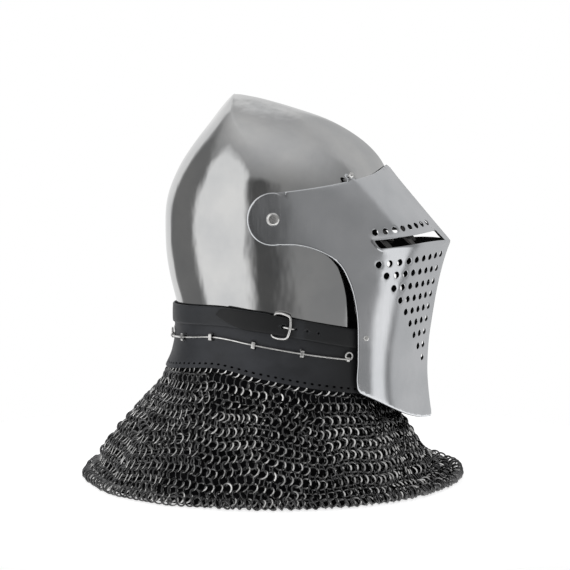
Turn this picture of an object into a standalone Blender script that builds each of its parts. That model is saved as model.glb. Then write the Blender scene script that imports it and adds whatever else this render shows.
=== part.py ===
"""A pointed bascinet with a pivoted, pierced visor, a leather neck band with its buckled strap,
staples and wires, and a mail skirt that spreads on the surface below. It faces -Y, with +Z up, and
its origin is at the crown of the wearer's head. Sizes are in millimetres until a mesh is made."""

import math

import bmesh
import bpy
import numpy as np
from mathutils.geometry import delaunay_2d_cdt

MM = 0.001
GAP = 0.3  # between neighbouring pieces

# Skull and visor plates
SKULL_PLATE = 1.8
VISOR_PLATE = 1.6
PIVOT_Y, PIVOT_Z = -10.0, -90.0
EAR_RADIUS = 26.5
NOSE_Z = -116.4
ROW_FALL = 0.064  # how far a row of holes drops for each millimetre round the face

# Rivets: head diameter, head height, shank diameter, and the inner head's diameter and height
PIVOT_RIVET = (13.4, 3.0, 6.0, 10.0, 1.4)
SIDE_RIVET = (5.6, 1.3, 3.0, 5.0, 0.8)
SIDE_RIVET_SEAT = (-102.3, -208.8)  # Y and Z of its centre
PEG = (6.4, 5.0, 3.0, 4.4, 0.4)
PEG_SEAT = (-85.0, -48.6)

# Sight slot and breathing holes, measured round the face from the ridge
HOLE_DIAMETER = 6.2
HOLE_PITCH = 12.2
HOLE_SIDES = 6
# Rows of holes: height at the ridge, drop for each millimetre round the face, first hole, holes
HOLE_ROWS = (
    (-95.1, 0.081, 18.6, 8),
    (-128.5, 0.064, 14.4, 9),
    (-143.3, 0.038, 14.6, 8),
    (-156.9, 0.037, 14.6, 7),
    (-169.8, 0.041, 14.8, 6),
    (-182.7, 0.044, 14.8, 5),
    (-195.2, 0.058, 15.0, 4),
    (-208.6, 0.064, 14.8, 3),
    (-222.2, 0.060, 14.5, 2),
    (-235.7, 0.064, 14.5, 1),
)
SLOT_TOP_Z, SLOT_BOTTOM_Z, SLOT_FRONT_Z = -104.5, -112.6, -114.8
SLOT_FRONT_TOP, SLOT_FRONT_BOTTOM, SLOT_BACK = 18.0, 15.5, 112.5
SLOT_CORNER = 2.0
BAR_WIDTH, BAR_PLATE = 5.4, 2.6
BAR_PLACES = (68.5, 100.5)
BAR_REACH = 5.0  # how far a bar runs past the slot's edges
BAR_GAP = 0.8  # between a bar and the plate's curved inner face

# Neck band, strap and buckle
BAND_LEATHER = 1.8
STRAP_LEATHER = 2.2
STRAP_WIDTH = 19.5
TAIL_TIP_Y, TAIL_END_Y = 45.5, -24.0
BUCKLE_WIRE = 2.6
BUCKLE_LENGTH, BUCKLE_WIDTH = 19.5, 26.5
BUCKLE_HEEL_Y = -10.0
STRAP_HOLES_Y = (-33.0, -44.0, -55.0)
# How far from the tip, and how far it reaches below and above its middle in widths
TAIL_TAPER = (
    (0.0, (-0.08, 0.16)), (2.5, (0.02, 0.36)), (7.0, (0.16, 0.5)), (16.0, (0.34, 0.5)), (27.0, (0.5, 0.5)),
)
STRAP_HOLE_DIAMETER = 2.2

# Staples and the wires through them
STAPLE_WIDTH, STAPLE_HEIGHT, STAPLE_STANDS, STAPLE_PLATE = 2.6, 7.8, 4.8, 1.7
STAPLE_PLACES = (-38.9, 9.4, 52.7, 83.4)  # Y of each
WIRE_DIAMETER = 1.9
WIRE_FRONT_Y, WIRE_BACK_Y = -81.5, 99.0
EYE_RADIUS = 3.7

# Mail skirt
MAIL_THICKNESS = 4.0
FLOOR_Z = -362.0

# The skull's level sections. The keel and crease columns are angles in degrees, and the full columns
# are the lengths of the curve's handles against the section's own half width and length.
SKULL_COLUMNS = (
    "z", "front", "back", "wide", "half", "front_keel", "back_keel", "crease", "front_full", "side_full",
)
SKULL_ROWS = (
    (-250, -128, 97.0, -10, 92.4, 18, 0, 0, 0.86, 0.70),
    (-222, -130, 94.2, -12, 92.2, 18, 0, 0, 0.86, 0.70),
    (-196, -132, 94.8, -12, 92.4, 18, 0, 0, 0.86, 0.70),
    (-183, -133, 97.0, -12, 92.8, 18, 0, 0, 0.86, 0.70),
    (-171, -133, 100.0, -12, 93.4, 18, 0, 0, 0.86, 0.69),
    (-146, -133, 105.8, -11, 94.4, 18, 0, 0, 0.84, 0.67),
    (-121, -133, 108.8, -9, 95.2, 18, 0, 0, 0.80, 0.64),
    (-95, -133, 109.2, -8, 95.4, 18, 0, 0, 0.74, 0.61),
    (-77, -131.5, 108.0, -7, 95.2, 18, 0, 0, 0.70, 0.60),
    (-62, -128.5, 104.2, -5, 94.2, 18, 0, 0, 0.66, 0.59),
    (-50, -124.4, 99.4, -2, 91.6, 19, 0, 0, 0.62, 0.57),
    (-39, -119.6, 94.0, 3, 87.2, 19, 0, 0, 0.60, 0.56),
    (-33, -116.6, 90.9, 6, 84.0, 19, 0, 0, 0.59, 0.56),
    (-26.7, -111.9, 86.6, 10, 80.2, 20, 0, 0, 0.58, 0.55),
    (-14.3, -99.4, 78.2, 18, 71.6, 21, 2, 2, 0.56, 0.53),
    (-2, -81.9, 68.9, 27, 61.0, 22, 4, 6, 0.54, 0.50),
    (10.5, -57.9, 59.2, 35, 47.6, 24, 8, 14, 0.52, 0.46),
    (19.5, -31.4, 52.4, 37, 35.4, 26, 10, 22, 0.50, 0.43),
    (27, -6.5, 46.2, 37.5, 22.4, 28, 14, 28, 0.48, 0.40),
    (32.6, 15.5, 41.0, 37.6, 11.2, 30, 18, 32, 0.46, 0.38),
    (35.0, 29.5, 38.6, 37.3, 3.4, 32, 20, 34, 0.46, 0.38),
)
APEX = (0.0, 36.9, 35.5)

# The visor's sections, named as the skull's; z is the height of the section at the ridge
VISOR_COLUMNS = ("z", "front", "wide", "half", "front_keel", "front_full", "side_full")
VISOR_ROWS = (
    (-304, -171.0, -66, 90.0, 25, 0.95, 0.54),
    (-277, -167.2, -65, 91.4, 25, 0.95, 0.54),
    (-250, -165.2, -62, 93.0, 25, 0.95, 0.55),
    (-222, -166.4, -55, 94.6, 25, 0.95, 0.56),
    (-195, -170.0, -44, 96.2, 25, 0.94, 0.58),
    (-170, -174.0, -32, 97.4, 25, 0.92, 0.61),
    (-145, -179.4, -18, 98.0, 25, 0.89, 0.64),
    (-128, -184.2, -10, 98.1, 25, 0.88, 0.66),
    (-116.4, -188.6, -8, 98.1, 25, 0.88, 0.66),
    (-100, -174.6, -8, 98.1, 24, 0.86, 0.66),
    (-80, -157.7, -8, 98.1, 23, 0.82, 0.65),
    (-62, -142.6, -7, 98.0, 21, 0.76, 0.64),
    (-50, -132.5, -5, 97.5, 20, 0.71, 0.62),
    (-40, -124.9, -1, 95.6, 19, 0.68, 0.60),
    (-32, -118.4, 4, 90.0, 19, 0.66, 0.58),
)

# Side outline of the visor, as Y and Z. The ear is a round arc between its two parts.
VISOR_TOP_EDGE = (
    (-121.6, -37.0), (-117.0, -40.6), (-111.5, -44.2), (-103.0, -47.6), (-92.0, -50.4),
    (-78.0, -53.6), (-60.0, -57.0), (-40.0, -60.2), (-22.0, -62.6),
)
VISOR_REAR_EDGE = (
    (-20.0, -115.9), (-34.0, -116.2), (-47.0, -118.8), (-59.0, -123.2), (-70.0, -129.6),
    (-78.0, -137.6), (-84.2, -149.2), (-88.8, -161.6), (-92.0, -176.0), (-93.9, -192.0),
    (-94.4, -212.0), (-94.3, -234.0), (-93.6, -256.0), (-94.4, -261.4), (-97.0, -265.0),
)
VISOR_BOTTOM_EDGE = (
    (-101.0, -267.0), (-111.0, -271.6), (-131.3, -283.4), (-148.4, -293.4), (-161.8, -299.0),
    (-171.0, -300.6),
)

# Side outline of what is cut from the skull: the face opening, and what lies below its rim
FACE_CUT = (
    (-160.0, -74.0), (-138.0, -75.5), (-123.0, -81.0), (-110.0, -90.5), (-99.5, -104.0),
    (-92.0, -122.0), (-88.6, -144.0), (-88.4, -234.5), (-85.5, -239.0), (-40.0, -233.0),
    (5.0, -226.0), (50.0, -218.5), (120.0, -225.0), (140.0, -225.0), (140.0, -300.0), (-160.0, -300.0),
)

# Heights round the neck: the strap's top edge, the wire and the band's lower edge, at each Y
COLLAR_COLUMNS = ("y", "strap_top", "wire", "hem")
COLLAR_ROWS = (
    (-116, -204.2, -235.4, -268.6),
    (-88, -199.6, -231.0, -264.2),
    (-40, -190.7, -224.2, -257.4),
    (5, -182.8, -216.6, -249.0),
    (52, -178.6, -209.6, -240.4),
    (80, -179.8, -212.6, -242.6),
    (104, -181.4, -216.2, -246.8),
)

# Outer plan of the neck band from its top, 0, to its lower edge, 1
BAND_COLUMNS = ("part", "front", "back", "wide", "half", "front_keel", "back_keel", "crease",
                "front_full", "side_full")
BAND_ROWS = (
    (0.0, -117.5, 99.2, -12, 95.4, 0, 0, 0, 0.94, 0.74),
    (0.45, -118.0, 99.6, -12, 95.6, 0, 0, 0, 0.94, 0.74),
    (0.75, -119.0, 103.2, -11, 96.6, 0, 0, 0, 0.93, 0.73),
    (1.0, -120.5, 109.8, -10, 98.8, 0, 0, 0, 0.90, 0.71),
)
BAND_HIDDEN_TOP = 4.0  # how far its top edge lies below the strap's
BAND_STEPS = 8  # faces in each quarter of its plan

# The skirt from the band, 0, to the surface, 1: how far the plan has grown to the hem's round at
# the front and at the back
SKIRT_COLUMNS = ("part", "front", "back")
SKIRT_ROWS = (
    (0.0, 0.0, 0.0), (0.12, 0.04, 0.05), (0.3, 0.17, 0.25), (0.5, 0.34, 0.47), (0.7, 0.49, 0.68),
    (0.85, 0.63, 0.80), (0.93, 0.80, 0.90), (1.0, 1.0, 1.0),
)
HEM_FRONT, HEM_BACK, HEM_HALF = -201.0, 196.0, 196.0


def smooth_table(rows, columns, key):
    """the columns at the given keys, by monotone cubic curves through the rows"""
    table = np.array(sorted(rows), float)
    knots, values = table[:, 0], table[:, 1:]
    step = np.diff(knots)[:, None]
    slope = np.diff(values, axis=0) / step
    tangent = np.zeros_like(values)
    tangent[0], tangent[-1] = slope[0], slope[-1]
    same = slope[:-1] * slope[1:] > 0
    low, high = step[:-1], step[1:]
    weight_low, weight_high = 2 * high + low, high + 2 * low
    with np.errstate(divide="ignore", invalid="ignore"):
        mean = (weight_low + weight_high) / (weight_low / slope[:-1] + weight_high / slope[1:])
    tangent[1:-1] = np.where(same, mean, 0.0)
    key = np.clip(np.asarray(key, float), knots[0], knots[-1])
    span = np.clip(np.searchsorted(knots, key) - 1, 0, len(knots) - 2)
    gap = step[span, 0]
    part = ((key - knots[span]) / gap)[..., None]
    gap = gap[..., None]
    found = (
        (1 + 2 * part) * (1 - part) ** 2 * values[span]
        + part * (1 - part) ** 2 * gap * tangent[span]
        + part**2 * (3 - 2 * part) * values[span + 1]
        + part**2 * (part - 1) * gap * tangent[span + 1]
    )
    return {name: found[..., i] for i, name in enumerate(columns[1:])}


def quarter(end_y, wide, half, keel, crease, end_full, side_full, part):
    """points of a level section, from its end on the middle plane, part 0, to its widest, part 1"""
    keel, crease = np.radians(keel), np.radians(crease)
    length = wide - end_y
    side = np.sign(length)
    reach, run = end_full * half, side_full * np.abs(length)
    x = (0 * reach, reach * np.cos(keel), half - run * np.sin(crease), half)
    y = (end_y, end_y + side * reach * np.sin(keel), wide - side * run * np.cos(crease), wide)
    weight = ((1 - part) ** 3, 3 * part * (1 - part) ** 2, 3 * part**2 * (1 - part), part**3)
    return sum(w * c for w, c in zip(weight, x)), sum(w * c for w, c in zip(weight, y))


def half_section(row, turn):
    """X and Y round half a section: turn 0 is its front, 1 its widest point and 2 its back"""
    front = quarter(row["front"], row["wide"], row["half"], row["front_keel"], row["crease"],
                    row["front_full"], row["side_full"], np.clip(turn, 0, 1))
    back = quarter(row["back"], row["wide"], row["half"], row["back_keel"], row["crease"],
                   BACK_FULL, BACK_FULL, np.clip(2 - turn, 0, 1))
    return np.where(turn < 1, front[0], back[0]), np.where(turn < 1, front[1], back[1])


BACK_FULL = 0.57


def loop_turns(front_steps, back_steps):
    """turns of a whole section: down the +X side from the front to the back, and up the -X side"""
    half = np.concatenate([np.linspace(0, 1, front_steps, endpoint=False), np.linspace(1, 2, back_steps + 1)])
    return np.concatenate([half, half[-2:0:-1]]), np.concatenate([np.ones(len(half)), -np.ones(len(half) - 2)])


def collar(column, y):
    return smooth_table(COLLAR_ROWS, COLLAR_COLUMNS, y)[column]


def band_point(turn, side, part, outward=0.0):
    """a point of the neck band's outer face, moved outward in plan"""
    def plan(turns):
        turns = np.clip(turns, 0, 2)
        x, y = half_section(smooth_table(BAND_ROWS, BAND_COLUMNS, part), turns)
        return np.stack([x, y], axis=-1)

    here = plan(turn)
    along = plan(turn + 1e-3) - plan(turn - 1e-3)
    along /= np.linalg.norm(along, axis=-1, keepdims=True)
    here = here + outward * np.stack([along[..., 1], -along[..., 0]], axis=-1)
    x = np.where((turn <= 0) | (turn >= 2), 0.0, here[..., 0])
    y = here[..., 1]
    top = collar("strap_top", y) - BAND_HIDDEN_TOP
    return np.stack([side * x, y, top + part * (collar("hem", y) - top)], axis=-1)


def part_at(y, z):
    """how far down the neck band, from 0 to 1, a height lies"""
    top = collar("strap_top", y) - BAND_HIDDEN_TOP
    return (z - top) / (collar("hem", y) - top)


# The visor's plate

ARC_STEPS = 160


def visor_curve(z):
    """X, Y and arc length along the visor's sections, for an array of ridge heights"""
    row = smooth_table(VISOR_ROWS, VISOR_COLUMNS, z)
    part = np.linspace(0, 1, ARC_STEPS)
    row = {name: values[..., None] for name, values in row.items()}
    x, y = quarter(row["front"], row["wide"], row["half"], row["front_keel"], 0.0,
                   row["front_full"], row["side_full"], part)
    length = np.hypot(np.diff(x, axis=-1), np.diff(y, axis=-1))
    return x, y, np.concatenate([np.zeros_like(x[..., :1]), np.cumsum(length, axis=-1)], axis=-1)


def visor_point(around, z):
    """a point of the visor's outer face, at an arc length from the ridge and a ridge height"""
    around, z = np.broadcast_arrays(np.asarray(around, float), np.asarray(z, float))
    x, y, arc = visor_curve(z.ravel())
    found = []
    for s, height, xs, ys, arcs in zip(around.ravel(), z.ravel(), x, y, arc):
        past = s - arcs[-1]
        px, py = np.interp(abs(s), arcs, xs), np.interp(abs(s), arcs, ys)
        found.append((math.copysign(px, s), py + max(past, 0.0), height - ROW_FALL * abs(s)))
    return np.array(found).reshape(around.shape + (3,))


def visor_frame(around, z, step=0.4):
    """the outer face's point, its outward normal, and its slopes along both of its measures"""
    along = (visor_point(around + step, z) - visor_point(around - step, z)) / (2 * step)
    down = (visor_point(around, z + step) - visor_point(around, z - step)) / (2 * step)
    normal = np.cross(along, down)
    normal /= np.linalg.norm(normal, axis=-1, keepdims=True)
    return visor_point(around, z), normal, along, down


def visor_place(y, z):
    """the arc length and ridge height of the visor's point with this side view position"""
    around = 60.0
    for _ in range(60):
        ridge = z + ROW_FALL * around
        xs, ys, arcs = (a[0] for a in visor_curve(np.array([ridge])))
        if y <= ys[0]:
            target = 0.0
        elif y >= ys[-1]:
            target = arcs[-1] + y - ys[-1]
        else:
            target = float(np.interp(y, ys, arcs))
        around += 0.7 * (target - around)
    return around, z + ROW_FALL * around


def disc(around, z, diameter, sides):
    """a hole's outline in the plate's own measures, with the open area of a round hole in space"""
    _, _, along, down = visor_frame(np.array(around), np.array(z))
    metric = np.array([[along @ along, along @ down], [along @ down, down @ down]])
    values, vectors = np.linalg.eigh(metric)
    inverse = vectors @ np.diag(values**-0.5) @ vectors.T
    turns = (np.arange(sides) + 0.5) / sides * 2 * math.pi
    radius = diameter / 2 * math.sqrt(2 * math.pi / sides / math.sin(2 * math.pi / sides))
    ring = radius * np.stack([np.cos(turns), np.sin(turns)], axis=-1) @ inverse
    return [(around + ds, z + dz) for ds, dz in ring]


def hole_centres():
    """arc length and ridge height of each hole on one side"""
    centres = []
    for z, drop, first, count in HOLE_ROWS:
        for n in range(count):
            around = first + n * HOLE_PITCH
            centres.append((around, z + (ROW_FALL - drop) * around))
    return centres


def slot_outline(end_steps=2):
    """the sight slot on one side, with its rear corners rounded"""
    outline = [(SLOT_FRONT_TOP, SLOT_TOP_Z - 0.4)]
    outline += [(s, SLOT_TOP_Z) for s in (36.0, 55.0, 73.0, 91.0)]
    for z, side in ((SLOT_TOP_Z - SLOT_CORNER, 1), (SLOT_BOTTOM_Z + SLOT_CORNER, -1)):
        for n in range(end_steps + 1):
            turn = math.pi / 2 * (1 - n / end_steps if side > 0 else -n / end_steps)
            outline.append((SLOT_BACK + SLOT_CORNER * (math.cos(turn) - 1), z + SLOT_CORNER * math.sin(turn)))
    outline += [(s, SLOT_BOTTOM_Z) for s in (91.0, 73.0, 55.0)]
    outline.append((34.0, SLOT_BOTTOM_Z - 0.4 * (SLOT_BOTTOM_Z - SLOT_FRONT_Z)))
    return outline + [(SLOT_FRONT_BOTTOM, SLOT_FRONT_Z)]


def visor_outline():
    """one side's outline, from the ridge's top round the ear to the ridge's bottom, in plate measures"""
    side = [visor_place(y, z) for y, z in VISOR_TOP_EDGE]
    peg_around, peg_z = visor_place(*PEG_SEAT)
    first, last = math.radians(96), math.radians(-104)
    ear = []
    for n in range(13):
        turn = first + (last - first) * n / 12
        ear.append(visor_place(PIVOT_Y + EAR_RADIUS * math.cos(turn), PIVOT_Z + EAR_RADIUS * math.sin(turn)))
    side[0] = (0.0, side[0][1])
    below = [visor_place(y, z) for y, z in VISOR_REAR_EDGE + VISOR_BOTTOM_EDGE]
    below[-1] = (0.0, below[-1][1])
    return with_tongue(side, peg_around, peg_z) + ear + below


def with_tongue(edge, around, z):
    """the top edge with a round tongue that carries the lifting peg"""
    reach = PEG[0] / 2 + 0.5
    kept_front = [p for p in edge if p[0] < around - reach]
    kept_back = [p for p in edge if p[0] > around + reach]
    tongue = []
    for n in range(7):
        turn = math.pi * (1.1 - 1.2 * n / 6)
        tongue.append((around + reach * math.cos(turn), z + reach * math.sin(turn)))
    return kept_front + tongue + kept_back


def inside(points, outline):
    """which points lie inside a closed outline"""
    points, outline = np.asarray(points), np.asarray(outline)
    x, y = points[:, 0][:, None], points[:, 1][:, None]
    ax, ay = outline[:, 0], outline[:, 1]
    bx, by = np.roll(ax, -1), np.roll(ay, -1)
    with np.errstate(divide="ignore", invalid="ignore"):
        crossing = ((ay > y) != (by > y)) & (x < (bx - ax) * (y - ay) / (by - ay) + ax)
    return crossing.sum(axis=1) % 2 == 1


def far_from(points, outlines, distance):
    """which points keep a distance to every outline's corners and edges"""
    keep = np.ones(len(points), bool)
    for outline in outlines:
        a = np.asarray(outline)
        b = np.roll(a, -1, axis=0)
        for p, q in zip(a, b):
            span = q - p
            part = np.clip(((points - p) @ span) / max(span @ span, 1e-9), 0, 1)
            keep &= np.linalg.norm(points - p - part[:, None] * span, axis=1) > distance
    return keep


def plate_triangles(outline, holes, spacing, clearance):
    """corner points and triangles that fill an outline around its holes"""
    outline = [tuple(p) for p in outline]
    loops = [outline] + holes
    low, high = np.min(outline, axis=0), np.max(outline, axis=0)
    grid = []
    for j, z in enumerate(np.arange(low[1], high[1], spacing[1])):
        for s in np.arange(low[0] + (j % 2) * spacing[0] / 2, high[0], spacing[0]):
            grid.append((s, z))
    grid = np.array(grid)
    keep = inside(grid, outline) & far_from(grid, [outline], clearance[0]) & far_from(grid, holes, clearance[1])
    points = [p for loop in loops for p in loop] + [tuple(p) for p in grid[keep]]
    edges, start = [], 0
    for loop in loops:
        edges += [(start + n, start + (n + 1) % len(loop)) for n in range(len(loop))]
        start += len(loop)
    found, _, faces, *_ = delaunay_2d_cdt(points, edges, [], 1, 1e-6, False)
    found = np.array([tuple(p) for p in found])
    centres = np.array([found[list(f)].mean(axis=0) for f in faces])
    kept = inside(centres, outline)
    for hole in holes:
        kept &= ~inside(centres, hole)
    return found, [tuple(f) for f, k in zip(faces, kept) if k]


def visor_sheet():
    """the visor's outer face, both sides of it, as points and triangles"""
    outline = visor_outline()
    top, bottom = outline[0][1], outline[-1][1]
    ridge = [(0.0, z) for z in (-290, -270, -245, -222, -200, -180, -160, -140, -116.4, -95, -75, -55)]
    outline += [p for p in ridge if bottom + 4 < p[1] < top - 4]
    holes = [disc(s, z, HOLE_DIAMETER, HOLE_SIDES) for s, z in hole_centres()]
    holes.append(slot_outline())
    pivot = visor_place(PIVOT_Y, PIVOT_Z)
    holes.append(disc(*pivot, PIVOT_RIVET[2] + 2 * GAP, 12))
    holes.append(disc(*visor_place(*SIDE_RIVET_SEAT), SIDE_RIVET[2] + 2 * GAP, 8))
    peg = visor_place(*PEG_SEAT)
    holes.append(disc(*peg, PEG[2] + 2 * GAP, 8))
    flat, faces = plate_triangles(outline, holes, (13.0, 13.0), (5.5, 4.5))
    points = visor_point(flat[:, 0], flat[:, 1])
    points[np.abs(flat[:, 0]) < 1e-6, 0] = 0.0
    return points, faces


def mirrored(points, faces):
    """a half sheet at +X and its mirror image, joined along the middle plane"""
    points = np.asarray(points)
    image, both = {}, [tuple(p) for p in points]
    for n, (x, y, z) in enumerate(points):
        if abs(x) < 1e-6:
            image[n] = n
        else:
            image[n] = len(both)
            both.append((-x, y, z))
    return both, [tuple(f) for f in faces] + [tuple(image[n] for n in reversed(f)) for f in faces]


# Objects

def material(name, colour, roughness, metallic):
    made = bpy.data.materials.new(name)
    made.use_nodes = True
    shader = made.node_tree.nodes["Principled BSDF"]
    shader.inputs["Base Color"].default_value = (*colour, 1)
    shader.inputs["Roughness"].default_value = roughness
    shader.inputs["Metallic"].default_value = metallic
    return made


def add_object(name, points, faces, look, origin=(0, 0, 0), flip=False):
    """a mesh object from points in millimetres, with its own origin"""
    mesh = bpy.data.meshes.new(name)
    shifted = [tuple((p[i] - origin[i]) * MM for i in range(3)) for p in points]
    mesh.from_pydata(shifted, [], [tuple(reversed(f)) if flip else tuple(f) for f in faces])
    mesh.update()
    made = bpy.data.objects.new(name, mesh)
    made.location = [c * MM for c in origin]
    bpy.context.collection.objects.link(made)
    mesh.materials.append(look)
    return made


def face_outward(item):
    """turns a closed mesh's faces to point out of it"""
    shape = bmesh.new()
    shape.from_mesh(item.data)
    bmesh.ops.remove_doubles(shape, verts=shape.verts, dist=1e-7)
    bmesh.ops.recalc_face_normals(shape, faces=shape.faces)
    shape.to_mesh(item.data)
    shape.free()


def thicken(item, plate):
    solid = item.modifiers.new("plate", "SOLIDIFY")
    solid.thickness = plate * MM
    solid.offset = -1
    solid.use_even_offset = True
    solid.use_rim = True


def cut(item, cutter):
    boolean = item.modifiers.new("cut", "BOOLEAN")
    boolean.operation = "DIFFERENCE"
    boolean.solver = "EXACT"
    boolean.object = cutter
    cutter.hide_render = True
    cutter.display_type = "WIRE"


def shade_round(item, degrees=35):
    item.data.shade_smooth()
    item.data.set_sharp_from_angle(angle=math.radians(degrees))


def grid_faces(rows, columns, wrap):
    """quads between the rows of a grid of points, whose columns may close into a ring"""
    last = columns if wrap else columns - 1
    return [
        (r * columns + c, r * columns + (c + 1) % columns, (r + 1) * columns + (c + 1) % columns,
         (r + 1) * columns + c)
        for r in range(rows - 1)
        for c in range(last)
    ]


def prism_cutter(name, outline, half_width):
    """a closed block from a side outline in Y and Z, through the whole width"""
    count = len(outline)
    points = [(-half_width, y, z) for y, z in outline] + [(half_width, y, z) for y, z in outline]
    faces = [tuple(range(count)), tuple(range(2 * count - 1, count - 1, -1))]
    faces += [(n, count + n, count + (n + 1) % count, (n + 1) % count) for n in range(count)]
    made = add_object(name, points, faces, None)
    face_outward(made)
    return made


def turned(name, profile, base, axis, look, sides=16):
    """a solid of revolution from radius and height pairs, standing on a base along an axis"""
    axis = np.asarray(axis, float) / np.linalg.norm(axis)
    across = np.cross(axis, (0, 0, 1.0))
    across /= np.linalg.norm(across)
    third = np.cross(axis, across)
    points, rings = [], []
    for radius, height in profile:
        centre = np.asarray(base) + height * axis
        if radius == 0:
            rings.append([len(points)])
            points.append(tuple(centre))
            continue
        rings.append(list(range(len(points), len(points) + sides)))
        for n in range(sides):
            turn = 2 * math.pi * n / sides
            points.append(tuple(centre + radius * (math.cos(turn) * across + math.sin(turn) * third)))
    faces = []
    for low, high in zip(rings, rings[1:]):
        for n in range(sides):
            m = (n + 1) % sides
            if len(low) == 1:
                faces.append((low[0], high[m], high[n]))
            elif len(high) == 1:
                faces.append((low[n], low[m], high[0]))
            else:
                faces.append((low[n], low[m], high[m], high[n]))
    made = add_object(name, points, faces, look, origin=tuple(base))
    face_outward(made)
    shade_round(made)
    return made


def tube(name, path, diameter, look, sides=5, closed=False):
    """a round wire along a path of points"""
    path = np.asarray(path, float)
    count = len(path)
    if closed:
        tangents = np.roll(path, -1, axis=0) - np.roll(path, 1, axis=0)
    else:
        tangents = np.gradient(path, axis=0)
    tangents /= np.linalg.norm(tangents, axis=1, keepdims=True)
    side = np.cross(tangents[0], (0.3, 0.2, 1.0))
    points = []
    for centre, tangent in zip(path, tangents):
        side = side - (side @ tangent) * tangent
        side /= np.linalg.norm(side)
        third = np.cross(tangent, side)
        for n in range(sides):
            turn = 2 * math.pi * n / sides
            points.append(tuple(centre + diameter / 2 * (math.cos(turn) * side + math.sin(turn) * third)))
    faces = grid_faces(count, sides, True)
    if closed:
        shift = closing_shift(points, sides)
        faces += [
            ((count - 1) * sides + n, (count - 1) * sides + (n + 1) % sides, (n + 1 + shift) % sides,
             (n + shift) % sides)
            for n in range(sides)
        ]
    else:
        faces += [tuple(reversed(range(sides))), tuple(range((count - 1) * sides, count * sides))]
    made = add_object(name, points, faces, look)
    face_outward(made)
    shade_round(made, 60)
    return made


def closing_shift(points, sides):
    """which corner of the first ring lies nearest to the last ring's first corner"""
    last = np.array(points[-sides])
    return int(np.argmin([np.linalg.norm(np.array(points[n]) - last) for n in range(sides)]))


# Pieces

SKULL_LEVELS = (
    -246, -215, -185, -155, -130, -108, -90, -74, -60, -48, -38, -28, -18, -8, 2, 12, 21, 28.5, 33.2,
)


def skull_ring(z, turns, sides):
    x, y = half_section(smooth_table(SKULL_ROWS, SKULL_COLUMNS, np.full(len(turns), float(z))), turns)
    return np.stack([sides * x, y, np.full(len(turns), float(z))], axis=-1)


def make_skull(look):
    turns, sides = loop_turns(8, 7)
    count = len(turns)
    rings = [skull_ring(z, turns, sides) for z in SKULL_LEVELS]
    points = [tuple(p) for ring in rings for p in ring] + [APEX]
    faces = grid_faces(len(rings), count, True)
    top = (len(rings) - 1) * count
    faces += [(top + n, top + (n + 1) % count, len(points) - 1) for n in range(count)]
    skull = add_object("skull", points, faces, look)
    thicken(skull, SKULL_PLATE)
    cut(skull, prism_cutter("face_cutter", FACE_CUT, 130.0))
    for side in (-1, 1):
        cut(skull, bore_cutter(f"pivot_cutter_{side + 1}", side))
    shade_round(skull, 40)
    return skull


def bore_cutter(name, side):
    radius = PIVOT_RIVET[2] / 2 + GAP
    return turned(name, ((0, 0), (radius, 0), (radius, 30), (0, 30)), (side * 80.0, PIVOT_Y, PIVOT_Z),
                  (side, 0, 0), None, 12)


def make_visor(look):
    points, faces = visor_sheet()
    visor = add_object("visor", *mirrored(points, faces), look)
    face_outward_sheet(visor)
    thicken(visor, VISOR_PLATE)
    shade_round(visor, 30)
    return visor


def face_outward_sheet(item):
    """turns an open sheet's faces away from the middle of the head"""
    mesh = item.data
    shape = bmesh.new()
    shape.from_mesh(mesh)
    shape.normal_update()
    away = sum(f.normal.dot(f.calc_center_median()) * f.calc_area() for f in shape.faces)
    if away < 0:
        bmesh.ops.reverse_faces(shape, faces=shape.faces)
    shape.to_mesh(mesh)
    shape.free()


def plate_rivet(name, place, side, sizes, under, look, sides=12):
    """a rivet through the visor: its head outside, its shank, and its inner head below a depth"""
    head, rise, shank, inner, inner_rise = sizes
    point, normal, _, _ = visor_frame(np.array(place[0]), np.array(place[1]))
    base = (side * point[0], point[1], point[2])
    axis = (side * normal[0], normal[1], normal[2])
    flat = 0.26 * head
    profile = (
        (0, -under - inner_rise), (inner / 2, -under - inner_rise), (inner / 2, -under), (shank / 2, -under),
        (shank / 2, GAP), (head / 2, GAP), (head / 2 * 0.97, GAP + 0.35 * rise),
        (head / 2 * 0.8, GAP + 0.8 * rise), (flat, GAP + rise), (0, GAP + rise),
    )
    return turned(name, profile, base, axis, look, sides)


def make_sight_bar(name, around, side, look):
    """a strip behind the slot, which follows the visor's inner face"""
    heights = np.linspace(SLOT_TOP_Z + BAR_REACH, SLOT_BOTTOM_Z - BAR_REACH, 7)
    points = []
    for z in heights:
        for offset in (VISOR_PLATE + BAR_GAP, VISOR_PLATE + BAR_GAP + BAR_PLATE):
            for edge in (-0.5, 0.5):
                point, normal, _, _ = visor_frame(np.array(around + edge * BAR_WIDTH), np.array(z), 2.0)
                x, y, height = point - offset * normal
                points.append((side * x, y, height))
    ring = (0, 1, 3, 2)
    faces = []
    for r in range(len(heights) - 1):
        for a, b in zip(ring, ring[1:] + ring[:1]):
            faces.append((4 * r + a, 4 * r + b, 4 * r + 4 + b, 4 * r + 4 + a))
    last = 4 * (len(heights) - 1)
    faces += [tuple(ring), tuple(last + n for n in reversed(ring))]
    bar = add_object(name, points, faces, look)
    face_outward(bar)
    return bar


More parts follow.
